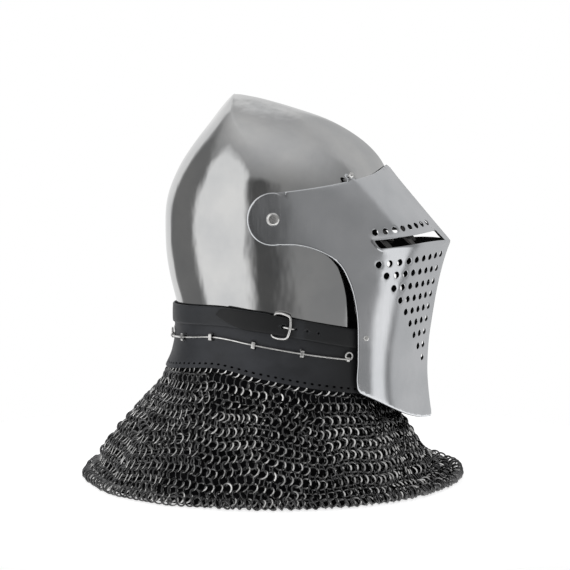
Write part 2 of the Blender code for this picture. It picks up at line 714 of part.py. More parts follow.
def make_band(look):
    turns, sides = loop_turns(BAND_STEPS, BAND_STEPS)
    parts = (0.0, 0.47, 0.72, 0.88, 1.0)
    count = len(turns)
    outer = [band_point(turns, sides, np.full(count, p)) for p in parts]
    inner = [band_point(turns, sides, np.full(count, p), -BAND_LEATHER) for p in reversed(parts)]
    points = [tuple(p) for ring in outer + inner for p in ring]
    rows = 2 * len(parts)
    faces = grid_faces(rows, count, True)
    faces += [((rows - 1) * count + n, (rows - 1) * count + (n + 1) % count, (n + 1) % count, n)
              for n in range(count)]
    band = add_object("leather_band", points, faces, look)
    face_outward(band)
    for side in (-1, 1):
        for n, turn in enumerate(STAPLE_PLACES):
            cut(band, staple_slot(f"slot_cutter_{side + 1}_{n}", turn, side))
    shade_round(band, 40)
    return band


def staple_frame(y, side):
    """where the wire passes on the band at this Y, with its outward, forward and upward directions"""
    part = float(part_at(y, collar("wire", y)))
    turn = turn_at_y(y, part)
    here = band_point(np.array([turn]), side, np.array([part]))[0]
    ahead = band_point(np.array([turn - 0.01]), side, np.array([part]))[0]
    forward = ahead - here
    forward /= np.linalg.norm(forward)
    outward = np.cross(forward, (0, 0, 1.0))
    outward *= np.sign(outward @ (here[0], here[1] + 10, 0)) / np.linalg.norm(outward)
    return here, outward, forward, np.cross(outward, forward) * np.sign(np.cross(outward, forward)[2])


def block(name, base, axes, ranges, look):
    """a box between two distances along each of three directions"""
    corners = []
    for u in ranges[0]:
        for v in ranges[1]:
            for w in ranges[2]:
                corners.append(tuple(base + u * axes[0] + v * axes[1] + w * axes[2]))
    faces = [(0, 1, 3, 2), (4, 6, 7, 5), (0, 4, 5, 1), (2, 3, 7, 6), (0, 2, 6, 4), (1, 5, 7, 3)]
    made = add_object(name, corners, faces, look)
    face_outward(made)
    return made


def staple_slot(name, turn, side):
    here, outward, forward, up = staple_frame(turn, side)
    across = STAPLE_WIDTH / 2 + GAP
    tall = STAPLE_HEIGHT / 2 + GAP
    return block(name, here, (outward, forward, up), ((-8, 8), (-across, across), (-tall, tall)), None)


def make_staple(name, turn, side, look):
    """a flat staple from the skull out through the band, with a square eye for the wire"""
    here, outward, forward, up = staple_frame(turn, side)
    foot = -BAND_LEATHER - GAP
    tall, eye = STAPLE_HEIGHT / 2, STAPLE_HEIGHT / 2 - STAPLE_PLATE
    crown = STAPLE_STANDS - STAPLE_PLATE
    shape = ((foot, tall), (STAPLE_STANDS - 1.2, tall), (STAPLE_STANDS, tall - 1.4), (STAPLE_STANDS, 1.4 - tall),
             (STAPLE_STANDS - 1.2, -tall), (foot, -tall), (foot, -eye), (crown, -eye), (crown, eye), (foot, eye))
    points = [tuple(here + r * outward + v * up + w * forward)
              for w in (-STAPLE_WIDTH / 2, STAPLE_WIDTH / 2) for r, v in shape]
    count = len(shape)
    faces = [tuple(range(count)), tuple(range(2 * count - 1, count - 1, -1))]
    faces += [(n, count + n, count + (n + 1) % count, (n + 1) % count) for n in range(count)]
    staple = add_object(name, points, faces, look)
    face_outward(staple)
    return staple


def wire_path(side):
    """from the eye at the back through the staples to the eye at the cheek"""
    stand = STAPLE_STANDS - STAPLE_PLATE - WIRE_DIAMETER / 2 - GAP
    first, last = turn_at_y(WIRE_BACK_Y, 0.5), turn_at_y(WIRE_FRONT_Y, 0.5)
    path = []
    for turn in np.linspace(first, last, 15):
        y = float(band_point(np.array([turn]), 1, np.array([0.5]))[0][1])
        here, outward, _, _ = staple_frame(y, side)
        path.append(here + stand * outward)
    here, outward, forward, up = staple_frame(WIRE_BACK_Y, side)
    back = eye_points(here + stand * outward, -forward, up, outward)
    here, outward, forward, up = staple_frame(WIRE_FRONT_Y, side)
    front = eye_points(here + stand * outward, forward, up, outward)
    return back[::-1] + path[1:-1] + front


def eye_points(start, ahead, up, outward):
    """a round eye of wire above the wire's end, turned until it nearly meets the wire"""
    centre = start + EYE_RADIUS * up
    points = [start - 2.0 * ahead]
    for n in range(9):
        turn = -math.pi / 2 + 1.72 * math.pi * n / 8
        lift = 0.9 * n / 8
        points.append(centre + EYE_RADIUS * (math.cos(turn) * ahead + math.sin(turn) * up) + lift * outward)
    return points


def strap_station(turn, side, lift, rise):
    """inner and outer corners of the strap's section, lower and upper, at a turn round the neck"""
    y = band_point(np.array([turn]), side, np.array([0.1]))[0][1]
    top = float(collar("strap_top", y))
    low, high = top - STRAP_WIDTH * (0.5 + rise[0]), top - STRAP_WIDTH * (0.5 - rise[1])
    corners = []
    for height, offsets in ((low, (0, STRAP_LEATHER)), (high, (STRAP_LEATHER, 0))):
        part = max(float(part_at(y, height)), 0.0)
        for offset in offsets:
            found = band_point(np.array([turn]), side, np.array([part]), GAP + lift + offset)[0]
            corners.append((found[0], found[1], height))
    return corners


def turn_at_y(y, part=0.1):
    """the turn round the band, at a part of its height, that has this Y"""
    turns = np.linspace(0.02, 1.98, 400)
    path = band_point(turns, 1, np.full(400, part))
    return float(np.interp(y, path[:, 1], turns))


def make_strap(look):
    """one ribbon round the neck: its tail lies over its own other end on the wearer's right"""
    over = STRAP_LEATHER + 2 * GAP + 0.4
    tip, tail_end, heel = turn_at_y(TAIL_TIP_Y), turn_at_y(TAIL_END_Y), turn_at_y(BUCKLE_HEEL_Y + 3.4)
    full = (0.5, 0.5)
    stations = [(turn_at_y(TAIL_TIP_Y - run), -1, over, rise) for run, rise in TAIL_TAPER]
    for turn in stops(turn_at_y(TAIL_TIP_Y - TAIL_TAPER[-1][0]), tail_end, 2):
        stations.append((turn, -1, over, full))
    settle = turn_at_y(TAIL_END_Y - 20)
    for turn in stops(tail_end, settle, 2):
        part = (tail_end - turn) / (tail_end - settle)
        stations.append((turn, -1, over * (1 - part * part * (3 - 2 * part)), full))
    stations += [(turn, -1, 0.0, full) for turn in stops(settle, 0.0, 1)]
    stations += [(turn, 1, 0.0, full) for turn in stops(0.0, 2.0, 1)]
    stations += [(turn, -1, 0.0, full) for turn in stops(2.0, heel, 1)]
    points = [tuple(p) for station in stations for p in strap_station(*station)]
    faces = grid_faces(len(stations), 4, True)
    last = 4 * (len(stations) - 1)
    faces += [(3, 2, 1, 0), (last, last + 1, last + 2, last + 3)]
    strap = add_object("strap", points, faces, look)
    face_outward(strap)
    for n, y in enumerate(STRAP_HOLES_Y):
        cut(strap, strap_bore(f"strap_cutter_{n}", y, STRAP_HOLE_DIAMETER / 2))
    cut(strap, strap_bore("prong_cutter", BUCKLE_HEEL_Y - 10.4, 2.3))
    return strap


def stops(first, last, finer):
    """turns after the first up to the last, at every edge of the band's faces and between them"""
    steps = BAND_STEPS * finer
    low, high = sorted((first, last))
    between = [n / steps for n in range(2 * steps + 1) if low + 0.01 < n / steps < high - 0.01]
    return (between if last > first else between[::-1]) + [last]


def strap_centre(y, lift=0.0):
    """the middle of the strap on the wearer's right, with its outward, forward and upward directions"""
    turn = turn_at_y(y)
    here = band_point(np.array([turn]), -1, np.array([0.1]), GAP + lift)[0]
    ahead = band_point(np.array([turn - 0.01]), -1, np.array([0.1]), GAP + lift)[0]
    here[2] = collar("strap_top", here[1]) - STRAP_WIDTH / 2
    ahead[2] = collar("strap_top", ahead[1]) - STRAP_WIDTH / 2
    forward = (ahead - here) / np.linalg.norm(ahead - here)
    outward = np.cross((0, 0, 1.0), forward)
    outward *= -np.sign(outward[0]) / np.linalg.norm(outward)
    up = np.cross(outward, forward)
    return here, outward, forward, up * np.sign(up[2])


def strap_bore(name, y, radius):
    here, outward, _, _ = strap_centre(y)
    return turned(name, ((0, -1.2), (radius, -1.2), (radius, 12), (0, 12)), tuple(here), outward, None, 8)


def make_buckle(look):
    """a round wire frame: its heel lies under the tail, its front bar over the strap"""
    here, outward, forward, up = strap_centre(BUCKLE_HEEL_Y)
    length, width = BUCKLE_LENGTH - BUCKLE_WIRE, BUCKLE_WIDTH - BUCKLE_WIRE
    corner = 4.5
    heel_out = BUCKLE_WIRE / 2
    bar_out = heel_out + STRAP_LEATHER + BUCKLE_WIRE + 1.0
    path = []
    for centre_a, centre_b, first in ((length - corner, width / 2 - corner, 0), (corner * 0.6, width / 2 - corner, 90),
                                      (corner * 0.6, corner - width / 2, 180), (length - corner, corner - width / 2, 270)):
        across = corner if first in (0, 270) else corner * 0.6
        for n in range(4):
            turn = math.radians(first + 30 * n)
            a, b = centre_a + across * math.cos(turn), centre_b + corner * math.sin(turn)
            rise = heel_out + (bar_out - heel_out) * a / length
            path.append(here + a * forward + b * up + rise * outward)
    frame = tube("buckle_frame", path, BUCKLE_WIRE, look, 8, True)
    start = here + 2.6 * forward + heel_out * outward
    mid = here + 9.2 * forward + (heel_out + 0.3) * outward
    over = here + 11.4 * forward + (bar_out + 0.8) * outward
    crest = here + length * forward + (bar_out + BUCKLE_WIRE / 2 + 1.4) * outward
    tip = here + (length + 3.4) * forward + (bar_out + BUCKLE_WIRE / 2 + 0.9) * outward
    prong = tube("buckle_prong", [start, mid, over, crest, tip], 2.0, look, 8)
    return frame, prong


def skirt_ring(part, turns, sides, outward=0.0):
    """a level of the mail skirt, from the band's lower edge to the round hem"""
    top = band_point(turns, sides, np.ones(len(turns)), outward)
    row = smooth_table(SKIRT_ROWS, SKIRT_COLUMNS, np.full(len(turns), part))
    hem = {"front": HEM_FRONT, "back": HEM_BACK, "wide": (HEM_FRONT + HEM_BACK) / 2, "half": HEM_HALF,
           "front_keel": 0.0, "back_keel": 0.0, "crease": 0.0, "front_full": 0.552, "side_full": 0.552}
    x, y = half_section(hem, turns)
    to_front = 0.5 - 0.5 * y / np.hypot(x, y)
    grown = row["back"] + (row["front"] - row["back"]) * to_front**2
    rim = np.stack([sides * x, y], axis=-1)
    plan = top[:, :2] + grown[:, None] * (rim - top[:, :2])
    start = top[:, 2] - GAP
    return np.column_stack([plan, start + part * (FLOOR_Z - start)])


def make_aventail(look):
    """the mail skirt as one hollow wall, whose hem rests flat on the surface"""
    turns, sides = loop_turns(BAND_STEPS, BAND_STEPS)
    count = len(turns)
    parts = (0.0, 0.14, 0.36, 0.6, 0.82, 0.94, 1.0)
    outer = [skirt_ring(p, turns, sides) for p in parts]
    inner = []
    for n, p in enumerate(parts):
        ring = skirt_ring(p, turns, sides, -BAND_LEATHER if n == 0 else 0.0)
        if n:
            radial = outer[n][:, :2] - (0, -8)
            radial /= np.linalg.norm(radial, axis=1, keepdims=True)
            ring[:, :2] -= MAIL_THICKNESS * (1.0 if n < len(parts) - 1 else 1.6) * radial
        inner.append(ring)
    points = [tuple(p) for ring in outer + inner[::-1] for p in ring]
    rows = 2 * len(parts)
    faces = grid_faces(rows, count, True)
    faces += [((rows - 1) * count + n, (rows - 1) * count + (n + 1) % count, (n + 1) % count, n)
              for n in range(count)]
    skirt = add_object("aventail", points, faces, look)
    face_outward(skirt)
    shade_round(skirt, 40)
    return skirt


def main():
    for item in list(bpy.data.objects):
        bpy.data.objects.remove(item, do_unlink=True)
    plate = material("polished_steel", (0.62, 0.62, 0.61), 0.22, 1.0)
    fitting = material("bright_steel", (0.7, 0.7, 0.7), 0.28, 1.0)
    leather = material("black_leather", (0.035, 0.036, 0.039), 0.6, 0.0)
    mail = material("dark_mail", (0.16, 0.16, 0.165), 0.42, 0.9)

    make_skull(plate)
    make_visor(plate)
    pivot = visor_place(PIVOT_Y, PIVOT_Z)
    rivet_spot = visor_place(*SIDE_RIVET_SEAT)
    peg_spot = visor_place(*PEG_SEAT)
    for side, word in ((-1, "right"), (1, "left")):
        plate_rivet(f"pivot_rivet_{word}", pivot, side, PIVOT_RIVET, VISOR_PLATE + SKULL_PLATE + 3.2, fitting)
        plate_rivet(f"side_rivet_{word}", rivet_spot, side, SIDE_RIVET, VISOR_PLATE + GAP, fitting, 10)
        plate_rivet(f"lifting_peg_{word}", peg_spot, side, PEG, VISOR_PLATE + GAP, fitting, 10)
        for n, around in enumerate(BAR_PLACES):
            make_sight_bar(f"sight_bar_{word}_{n + 1}", around, side, plate)
        for n, turn in enumerate(STAPLE_PLACES):
            make_staple(f"vervelle_{word}_{n + 1}", turn, side, fitting)
        tube(f"wire_{word}", wire_path(side), WIRE_DIAMETER, fitting)
    make_band(leather)
    make_strap(leather)
    make_buckle(fitting)
    make_aventail(mail)


main()
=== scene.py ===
"""The look of a pointed bascinet with a pivoted, pierced visor, a leather neck band, a buckled strap
and a spread mail skirt. It faces -Y with +Z up. Sizes are in millimetres until a mesh is made."""

import math

import bmesh
import bpy
import numpy as np
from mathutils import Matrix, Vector
from mathutils.geometry import delaunay_2d_cdt


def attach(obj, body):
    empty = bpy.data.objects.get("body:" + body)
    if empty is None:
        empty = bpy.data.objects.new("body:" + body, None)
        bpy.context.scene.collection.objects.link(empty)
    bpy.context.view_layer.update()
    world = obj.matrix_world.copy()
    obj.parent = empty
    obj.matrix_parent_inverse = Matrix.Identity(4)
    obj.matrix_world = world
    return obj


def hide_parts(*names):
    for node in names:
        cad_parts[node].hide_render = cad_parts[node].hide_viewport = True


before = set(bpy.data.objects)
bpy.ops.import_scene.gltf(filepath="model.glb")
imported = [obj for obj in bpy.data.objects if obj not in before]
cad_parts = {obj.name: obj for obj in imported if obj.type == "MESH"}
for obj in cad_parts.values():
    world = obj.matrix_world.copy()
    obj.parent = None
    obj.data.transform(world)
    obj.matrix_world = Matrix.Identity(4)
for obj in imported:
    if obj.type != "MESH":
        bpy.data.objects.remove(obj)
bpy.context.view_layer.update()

MM = 0.001
GAP = 0.3  # between neighbouring pieces
SEED = 14
HEAD_MIDDLE = (0, 0, -0.15)  # in metres

# Skull and visor plates
SKULL_PLATE = 1.8
VISOR_PLATE = 1.6
PIVOT_SEAT = PIVOT_Y, PIVOT_Z = -10.0, -90.0
EAR_RADIUS = 26.5
EAR_FROM, EAR_TO = 96, -104  # degrees, from the back toward the top
NOSE_Z = -116.4
ROW_FALL = 0.064  # how far a row of holes drops for each millimetre round the face

# Rivets: head diameter, head height, shank diameter, and the inner head's diameter and height
PIVOT_RIVET = (13.4, 3.0, 6.0, 10.0, 1.4)
SIDE_RIVET = (5.6, 1.3, 3.0, 5.0, 0.8)
SIDE_RIVET_SEAT = (-102.3, -208.8)  # Y and Z of its centre
PEG = (6.4, 5.0, 3.0, 4.4, 0.4)
PEG_SEAT = (-85.0, -48.6)
# Name, seat, sizes, depth of the inner head, sides of the bore in the visor, and body
VISOR_RIVETS = (
    ("pivot_rivet", PIVOT_SEAT, PIVOT_RIVET, VISOR_PLATE + SKULL_PLATE + 3.2, 20, "helmet"),
    ("side_rivet", SIDE_RIVET_SEAT, SIDE_RIVET, VISOR_PLATE + GAP, 14, "visor"),
    ("lifting_peg", PEG_SEAT, PEG, VISOR_PLATE + GAP, 14, "visor"),
)

# Sight slot and breathing holes, measured round the face from the ridge
HOLE_DIAMETER = 6.8
HOLE_PITCH = 12.2
# Rows of holes: height at the ridge, drop for each millimetre round the face, first hole, holes
HOLE_ROWS = (
    (-95.1, 0.081, 18.6, 8),
    (-128.5, 0.064, 14.4, 9),
    (-143.3, 0.038, 14.6, 8),
    (-156.9, 0.037, 14.6, 7),
    (-169.8, 0.041, 14.8, 6),
    (-182.7, 0.044, 14.8, 5),
    (-195.2, 0.058, 15.0, 4),
    (-208.6, 0.064, 14.8, 3),
    (-222.2, 0.060, 14.5, 2),
    (-235.7, 0.064, 14.5, 1),
)
SLOT_TOP_Z, SLOT_BOTTOM_Z, SLOT_FRONT_Z = -104.5, -112.6, -114.8
SLOT_FRONT_TOP, SLOT_FRONT_BOTTOM, SLOT_BACK = 18.0, 15.5, 112.5
SLOT_CORNER = 2.0
SLOT_STEP = 3.0

# Neck band, strap and buckle
BAND_LEATHER = 1.8
STRAP_LEATHER = 2.2
STRAP_WIDTH = 19.5
TAIL_TIP_Y, TAIL_END_Y = 45.5, -24.0
BUCKLE_WIRE = 2.6
BUCKLE_LENGTH, BUCKLE_WIDTH = 19.5, 26.5
BUCKLE_HEEL_Y = -10.0
STRAP_HOLES_Y = (-33.0, -44.0, -55.0)
# How far from the tip, and how far the strap reaches below and above its middle there, in widths
TAIL_TAPER = ((0.0, -0.08, 0.16), (2.5, 0.02, 0.36), (7.0, 0.16, 0.5), (16.0, 0.34, 0.5), (27.0, 0.5, 0.5))
STRAP_HOLE_DIAMETER = 2.2
PRONG_HOLE_DIAMETER, PRONG_HOLE_AHEAD = 4.6, 10.4

# Staples and the wires through them
STAPLE_HEIGHT, STAPLE_STANDS, STAPLE_PLATE = 7.8, 4.8, 1.7
STAPLE_PLACES = (-38.9, 9.4, 52.7, 83.4)  # Y of each
STAPLE_TWISTS = (0.05, -0.04, 0.03, -0.06)  # how far each leans forward, for its height
WIRE_DIAMETER = 1.9
WIRE_FRONT_Y, WIRE_BACK_Y = -84.0, 99.0
WIRE_STAND = STAPLE_STANDS - STAPLE_PLATE - WIRE_DIAMETER / 2 - GAP  # from the band
EYE_RADIUS, EYE_LIFT = 3.7, 0.9  # its end lies this far out from its start
WRAP_TURNS, WRAP_RADIUS = 3.25, 0.7

# Mail skirt
FLOOR_Z = -362.0

# The skull's level sections. The keel and crease columns are angles in degrees, and the full columns
# are the lengths of the curve's handles against the section's own half width and length.
SKULL_COLUMNS = ("z", "front", "back", "wide", "half", "front_keel", "back_keel", "crease",
                 "front_full", "side_full")
SKULL_ROWS = (
    (-250, -128, 97.0, -10, 92.4, 18, 0, 0, 0.86, 0.70),
    (-222, -130, 94.2, -12, 92.2, 18, 0, 0, 0.86, 0.70),
    (-196, -132, 94.8, -12, 92.4, 18, 0, 0, 0.86, 0.70),
    (-183, -133, 97.0, -12, 92.8, 18, 0, 0, 0.86, 0.70),
    (-171, -133, 100.0, -12, 93.4, 18, 0, 0, 0.86, 0.69),
    (-146, -133, 105.8, -11, 94.4, 18, 0, 0, 0.84, 0.67),
    (-121, -133, 108.8, -9, 95.2, 18, 0, 0, 0.80, 0.64),
    (-95, -133, 109.2, -8, 95.4, 18, 0, 0, 0.74, 0.61),
    (-77, -131.5, 108.0, -7, 95.2, 18, 0, 0, 0.70, 0.60),
    (-62, -128.5, 104.2, -5, 94.2, 18, 0, 0, 0.66, 0.59),
    (-50, -124.4, 99.4, -2, 91.6, 19, 0, 0, 0.62, 0.57),
    (-39, -119.6, 94.0, 3, 87.2, 19, 0, 0, 0.60, 0.56),
    (-33, -116.6, 90.9, 6, 84.0, 19, 0, 0, 0.59, 0.56),
    (-26.7, -111.9, 86.6, 10, 80.2, 20, 0, 0, 0.58, 0.55),
    (-14.3, -99.4, 78.2, 18, 71.6, 21, 2, 2, 0.56, 0.53),
    (-2, -81.9, 68.9, 27, 61.0, 22, 4, 6, 0.54, 0.50),
    (10.5, -57.9, 59.2, 35, 47.6, 24, 8, 14, 0.52, 0.46),
    (19.5, -31.4, 52.4, 37, 35.4, 26, 10, 22, 0.50, 0.43),
    (27, -6.5, 46.2, 37.5, 22.4, 28, 14, 28, 0.48, 0.40),
    (32.6, 15.5, 41.0, 37.6, 11.2, 30, 18, 32, 0.46, 0.38),
    (35.0, 29.5, 38.6, 37.3, 3.4, 32, 20, 34, 0.46, 0.38),
)
APEX = (0.0, 36.9, 35.5)
SKULL_LOW_Z = -247.0  # of the plate before it is cut
BACK_FULL = 0.57  # of both handles from the widest point to the back

# The visor's sections, named as the skull's; z is the height of the section at the ridge
VISOR_COLUMNS = ("z", "front", "wide", "half", "front_keel", "front_full", "side_full")
VISOR_ROWS = (
    (-304, -171.0, -66, 90.0, 25, 0.95, 0.54),
    (-277, -167.2, -65, 91.4, 25, 0.95, 0.54),
    (-250, -165.2, -62, 93.0, 25, 0.95, 0.55),
    (-222, -166.4, -55, 94.6, 25, 0.95, 0.56),
    (-195, -170.0, -44, 96.2, 25, 0.94, 0.58),
    (-170, -174.0, -32, 97.4, 25, 0.92, 0.61),
    (-145, -179.4, -18, 98.0, 25, 0.89, 0.64),
    (-128, -184.2, -10, 98.1, 25, 0.88, 0.66),
    (-116.4, -188.6, -8, 98.1, 25, 0.88, 0.66),
    (-100, -174.6, -8, 98.1, 24, 0.86, 0.66),
    (-80, -157.7, -8, 98.1, 23, 0.82, 0.65),
    (-62, -142.6, -7, 98.0, 21, 0.76, 0.64),
    (-50, -132.5, -5, 97.5, 20, 0.71, 0.62),
    (-40, -124.9, -1, 95.6, 19, 0.68, 0.60),
    (-32, -118.4, 4, 90.0, 19, 0.66, 0.58),
)

# Side outline of the visor, as Y and Z. The ear is a round arc between its two parts.
VISOR_TOP_EDGE = (
    (-121.6, -37.0), (-117.0, -40.6), (-111.5, -44.2), (-103.0, -47.6), (-92.0, -50.4),
    (-78.0, -53.6), (-60.0, -57.0), (-40.0, -60.2), (-22.0, -62.6),
)
VISOR_REAR_EDGE = (
    (-20.0, -115.9), (-34.0, -116.2), (-47.0, -118.8), (-59.0, -123.2), (-70.0, -129.6),
    (-78.0, -137.6), (-84.2, -149.2), (-88.8, -161.6), (-92.0, -176.0), (-93.9, -192.0),
    (-94.4, -212.0), (-94.3, -234.0), (-93.6, -256.0), (-94.4, -261.4), (-97.0, -265.0),
)
VISOR_BOTTOM_EDGE = (
    (-101.0, -267.0), (-111.0, -271.6), (-131.3, -283.4), (-148.4, -293.4), (-161.8, -299.0),
    (-171.0, -300.6),
)

# Side outline of what is cut from the skull: its edge at the face and neck, then corners far below
FACE_EDGE = (
    (-160.0, -74.0), (-138.0, -75.5), (-123.0, -81.0), (-110.0, -90.5), (-99.5, -104.0),
    (-92.0, -122.0), (-88.6, -144.0), (-88.4, -234.5), (-85.5, -239.0), (-40.0, -233.0),
    (5.0, -226.0), (50.0, -218.5), (120.0, -225.0),
)
FACE_CORNERS = ((140.0, -225.0), (140.0, -300.0), (-160.0, -300.0))

# Heights round the neck: the strap's top edge, the wire and the band's lower edge, at each Y
COLLAR_COLUMNS = ("y", "strap_top", "wire", "hem")
COLLAR_ROWS = (
    (-116, -204.2, -235.4, -268.6),
    (-88, -199.6, -231.0, -264.2),
    (-40, -190.7, -224.2, -257.4),
    (5, -182.8, -216.6, -249.0),
    (52, -178.6, -209.6, -240.4),
    (80, -179.8, -212.6, -242.6),
    (104, -181.4, -216.2, -246.8),
)

# Outer plan of the neck band from its top, 0, to its lower edge, 1
BAND_COLUMNS = ("part", "front", "back", "wide", "half", "front_full", "side_full")
BAND_ROWS = (
    (0.0, -117.5, 99.2, -12, 95.4, 0.94, 0.74),
    (0.45, -118.0, 99.6, -12, 95.6, 0.94, 0.74),
    (0.75, -119.0, 103.2, -11, 96.6, 0.93, 0.73),
    (1.0, -120.5, 109.8, -10, 98.8, 0.90, 0.71),
)
BAND_HIDDEN_TOP = 4.0  # how far its top edge lies below the strap's

# The skirt from the band, 0, to the surface, 1: how far the plan has grown to the hem's round at
# the front and at the back
SKIRT_COLUMNS = ("part", "front", "back")
SKIRT_ROWS = (
    (0.0, 0.0, 0.0), (0.12, 0.04, 0.05), (0.3, 0.17, 0.25), (0.5, 0.34, 0.47), (0.7, 0.49, 0.68),
    (0.85, 0.63, 0.80), (0.93, 0.80, 0.90), (1.0, 1.0, 1.0),
)
HEM_FRONT, HEM_BACK, HEM_HALF = -201.0, 196.0, 196.0
HEM_FULL = 0.552  # which makes it round
# Folds round the skirt, phase and height
SKIRT_FOLDS = ((6, 0.4, 0.9), (9, 2.1, 1.0), (14, 4.2, 0.8), (23, 1.3, 0.4))
FOLD_HEIGHT = 1.6

# Finer sizes that only the look has
PLATE_GRID = 3.3  # between the points of a steel plate
PLATE_CLEAR = 2.1  # from its points to its edges
GRID_ROW, EXTRA_CLEAR = 0.87, 0.55  # of the points' spacing: between rows, and round each further point
NEAR_HOLE = 9.0  # beyond a hole's edge, where points are compared with it
RIDGE_ROUND = 1.3  # how far from its ridge a plate is rounded
RIDGE_STEP = 2.6
BESIDE_RIDGE, BESIDE_NOSE, BESIDE_SLOT = (0.45, 0.95, 1.7, 2.9), (-1.8, -0.8, 0.0, 0.8, 1.8), (2.4, 3.8)
APEX_STEP, APEX_GROWTH = 0.35, 1.12  # from the skull's point down, until the steps are a whole grid's
RIM_DROP, RIM_REACH, RIM_STEPS = 1.0, 1.7, (0.25, 0.6, 1.1, 1.7)  # the visor's rounded outer edge
HOLE_DROP, HOLE_REACH, HOLE_STEPS = 0.35, 0.6, (0.2, 0.6)
LIP_RISE, LIP_REACH = 2.2, 4.6  # of the raised lip round the sight slot
ROLL_DROP, ROLL_REACH, ROLL_TOP_Z = 0.3, 5.0, -60  # of the fall toward the visor's side and lower edges
FINE_HOLE_SIDES = 16
BAND_TALL = 62.0  # of the flat band that is laid round the neck
BAND_GRID, BAND_EDGE_STEP = 4.2, 3.6
THONG_LONG, THONG_TALL, THONG_PITCH, THONG_ABOVE_HEM = 3.4, 2.2, 7.3, 4.6
STAPLE_LOOK_WIDTH = 3.7
RING_RADIUS, RING_WIDTH, RING_WIRE = 5.15, 2.0, 1.45  # its wire is a little flattened
RING_PITCH, RING_ROWS = 7.9, 20
RING_LEANS = (-20.0, 50.0)  # degrees, of one row and of the next
RING_WEAR_AND_HIGHLIGHT = (1.2, 0.55)  # how far brightened, of one row and of the next: partly worn bright, partly a painted highlight on the same side of every ring
RING_SUNK, RING_SUNK_TOP = 3.0, 3.4  # inward from the skirt's outer face, and further at the top
FIRST_ROW_RISE = 2.6
RING_TILT = 9.0  # degrees, the usual stray of a ring's lean and tip
RING_STEPS = 18
RING_STRAY = (0.28, 0.6)  # of the rings, and of the loose ones at the hem
# Height, count round the neck, phase, and lag from the top row to the hem
ROW_SAGS = ((0.024, 5, 0.5, 0.6), (0.018, 11, 2.0, 2.5), (0.009, 19, 0.9, -3.0))
# Points and normals round a ring's wire: outward in its plane, and along its axis
RING_SECTION = ((1, 0), (0.56, 1), (-0.56, 1), (-1, 0), (-0.56, -1), (0.56, -1))
RING_NORMALS = ((1, 0), (0.24, 0.97), (-0.24, 0.97), (-1, 0), (-0.24, -0.97), (0.24, -0.97))


# Curves

def hermite(part, gap, low, high, slope_low, slope_high):
    """a cubic between two values with these slopes, at a part of the gap between them"""
    return (
        (1 + 2 * part) * (1 - part) ** 2 * low
        + part * (1 - part) ** 2 * gap * slope_low
        + part**2 * (3 - 2 * part) * high
        + part**2 * (part - 1) * gap * slope_high
    )


def lengths_along(path):
    """how far along a path each of its points lies"""
    return np.concatenate([[0], np.cumsum(np.linalg.norm(np.diff(path, axis=0), axis=1))])


def smooth_table(rows, columns, key):
    """the columns at the given keys, by monotone cubic curves through the rows"""
    table = np.array(sorted(rows), float)
    knots, values = table[:, 0], table[:, 1:]
    step = np.diff(knots)[:, None]
    slope = np.diff(values, axis=0) / step
    tangent = np.zeros_like(values)
    tangent[0], tangent[-1] = slope[0], slope[-1]
    same = slope[:-1] * slope[1:] > 0
    low, high = step[:-1], step[1:]
    weight_low, weight_high = 2 * high + low, high + 2 * low
    with np.errstate(divide="ignore", invalid="ignore"):
        mean = (weight_low + weight_high) / (weight_low / slope[:-1] + weight_high / slope[1:])
    tangent[1:-1] = np.where(same, mean, 0.0)
    key = np.clip(np.asarray(key, float), knots[0], knots[-1])
    span = np.clip(np.searchsorted(knots, key) - 1, 0, len(knots) - 2)
    gap = (knots[span + 1] - knots[span])[..., None]
    part = (key - knots[span])[..., None] / gap
    found = hermite(part, gap, values[span], values[span + 1], tangent[span], tangent[span + 1])
    return {name: found[..., i] for i, name in enumerate(columns[1:])}


def evened(values, spread):
    """columns smoothed by a bell of this many samples, with their ends held"""
    reach = int(4 * spread) + 1
    bell = np.exp(-0.5 * (np.arange(-reach, reach + 1) / spread) ** 2)
    bell /= bell.sum()
    before = 2 * values[0] - values[reach:0:-1]
    after = 2 * values[-1] - values[-2:-reach - 2:-1]
    padded = np.concatenate([before, values, after])
    return np.stack([np.convolve(column, bell, "valid") for column in padded.T], axis=-1)


FAIR_STEP, FAIR_SPREAD = 0.25, 6.0  # between the samples, and of the bell that evens them
CREASE_SPREAD = 3.0  # in samples, of the bell that rounds the crease


def fair_sections(rows, columns, crease=None):
    """a function like smooth_table's for sections without steps in their curvature, apart from a crease"""
    rows = sorted(rows)
    low, high = rows[0][0], rows[-1][0]
    pieces = [(low, high)] if crease is None else [(low, crease), (crease, high)]
    made = []
    for first, last in pieces:
        keys = np.linspace(first, last, 900)
        near = [r for r in rows if first <= r[0] <= last]
        found = smooth_table(near, columns, keys)
        table = np.column_stack([keys] + [found[name] for name in columns[1:]])
        sizes = [0] + [columns.index(name) for name in ("front", "back", "half") if name in columns]
        run = np.concatenate([[0], np.cumsum(np.abs(np.diff(table[:, sizes], axis=0)).max(axis=1))])
        steps = np.arange(0, run[-1], FAIR_STEP)
        table = np.column_stack([np.interp(steps, run, column) for column in table.T])
        made.append(evened(table, FAIR_SPREAD / FAIR_STEP))
    table = np.concatenate(made)
    if crease is not None:
        table = evened(table, CREASE_SPREAD)
    table = table[np.argsort(table[:, 0])]

    def sections(key):
        return {name: np.interp(key, table[:, 0], table[:, n + 1]) for n, name in enumerate(columns[1:])}

    return sections


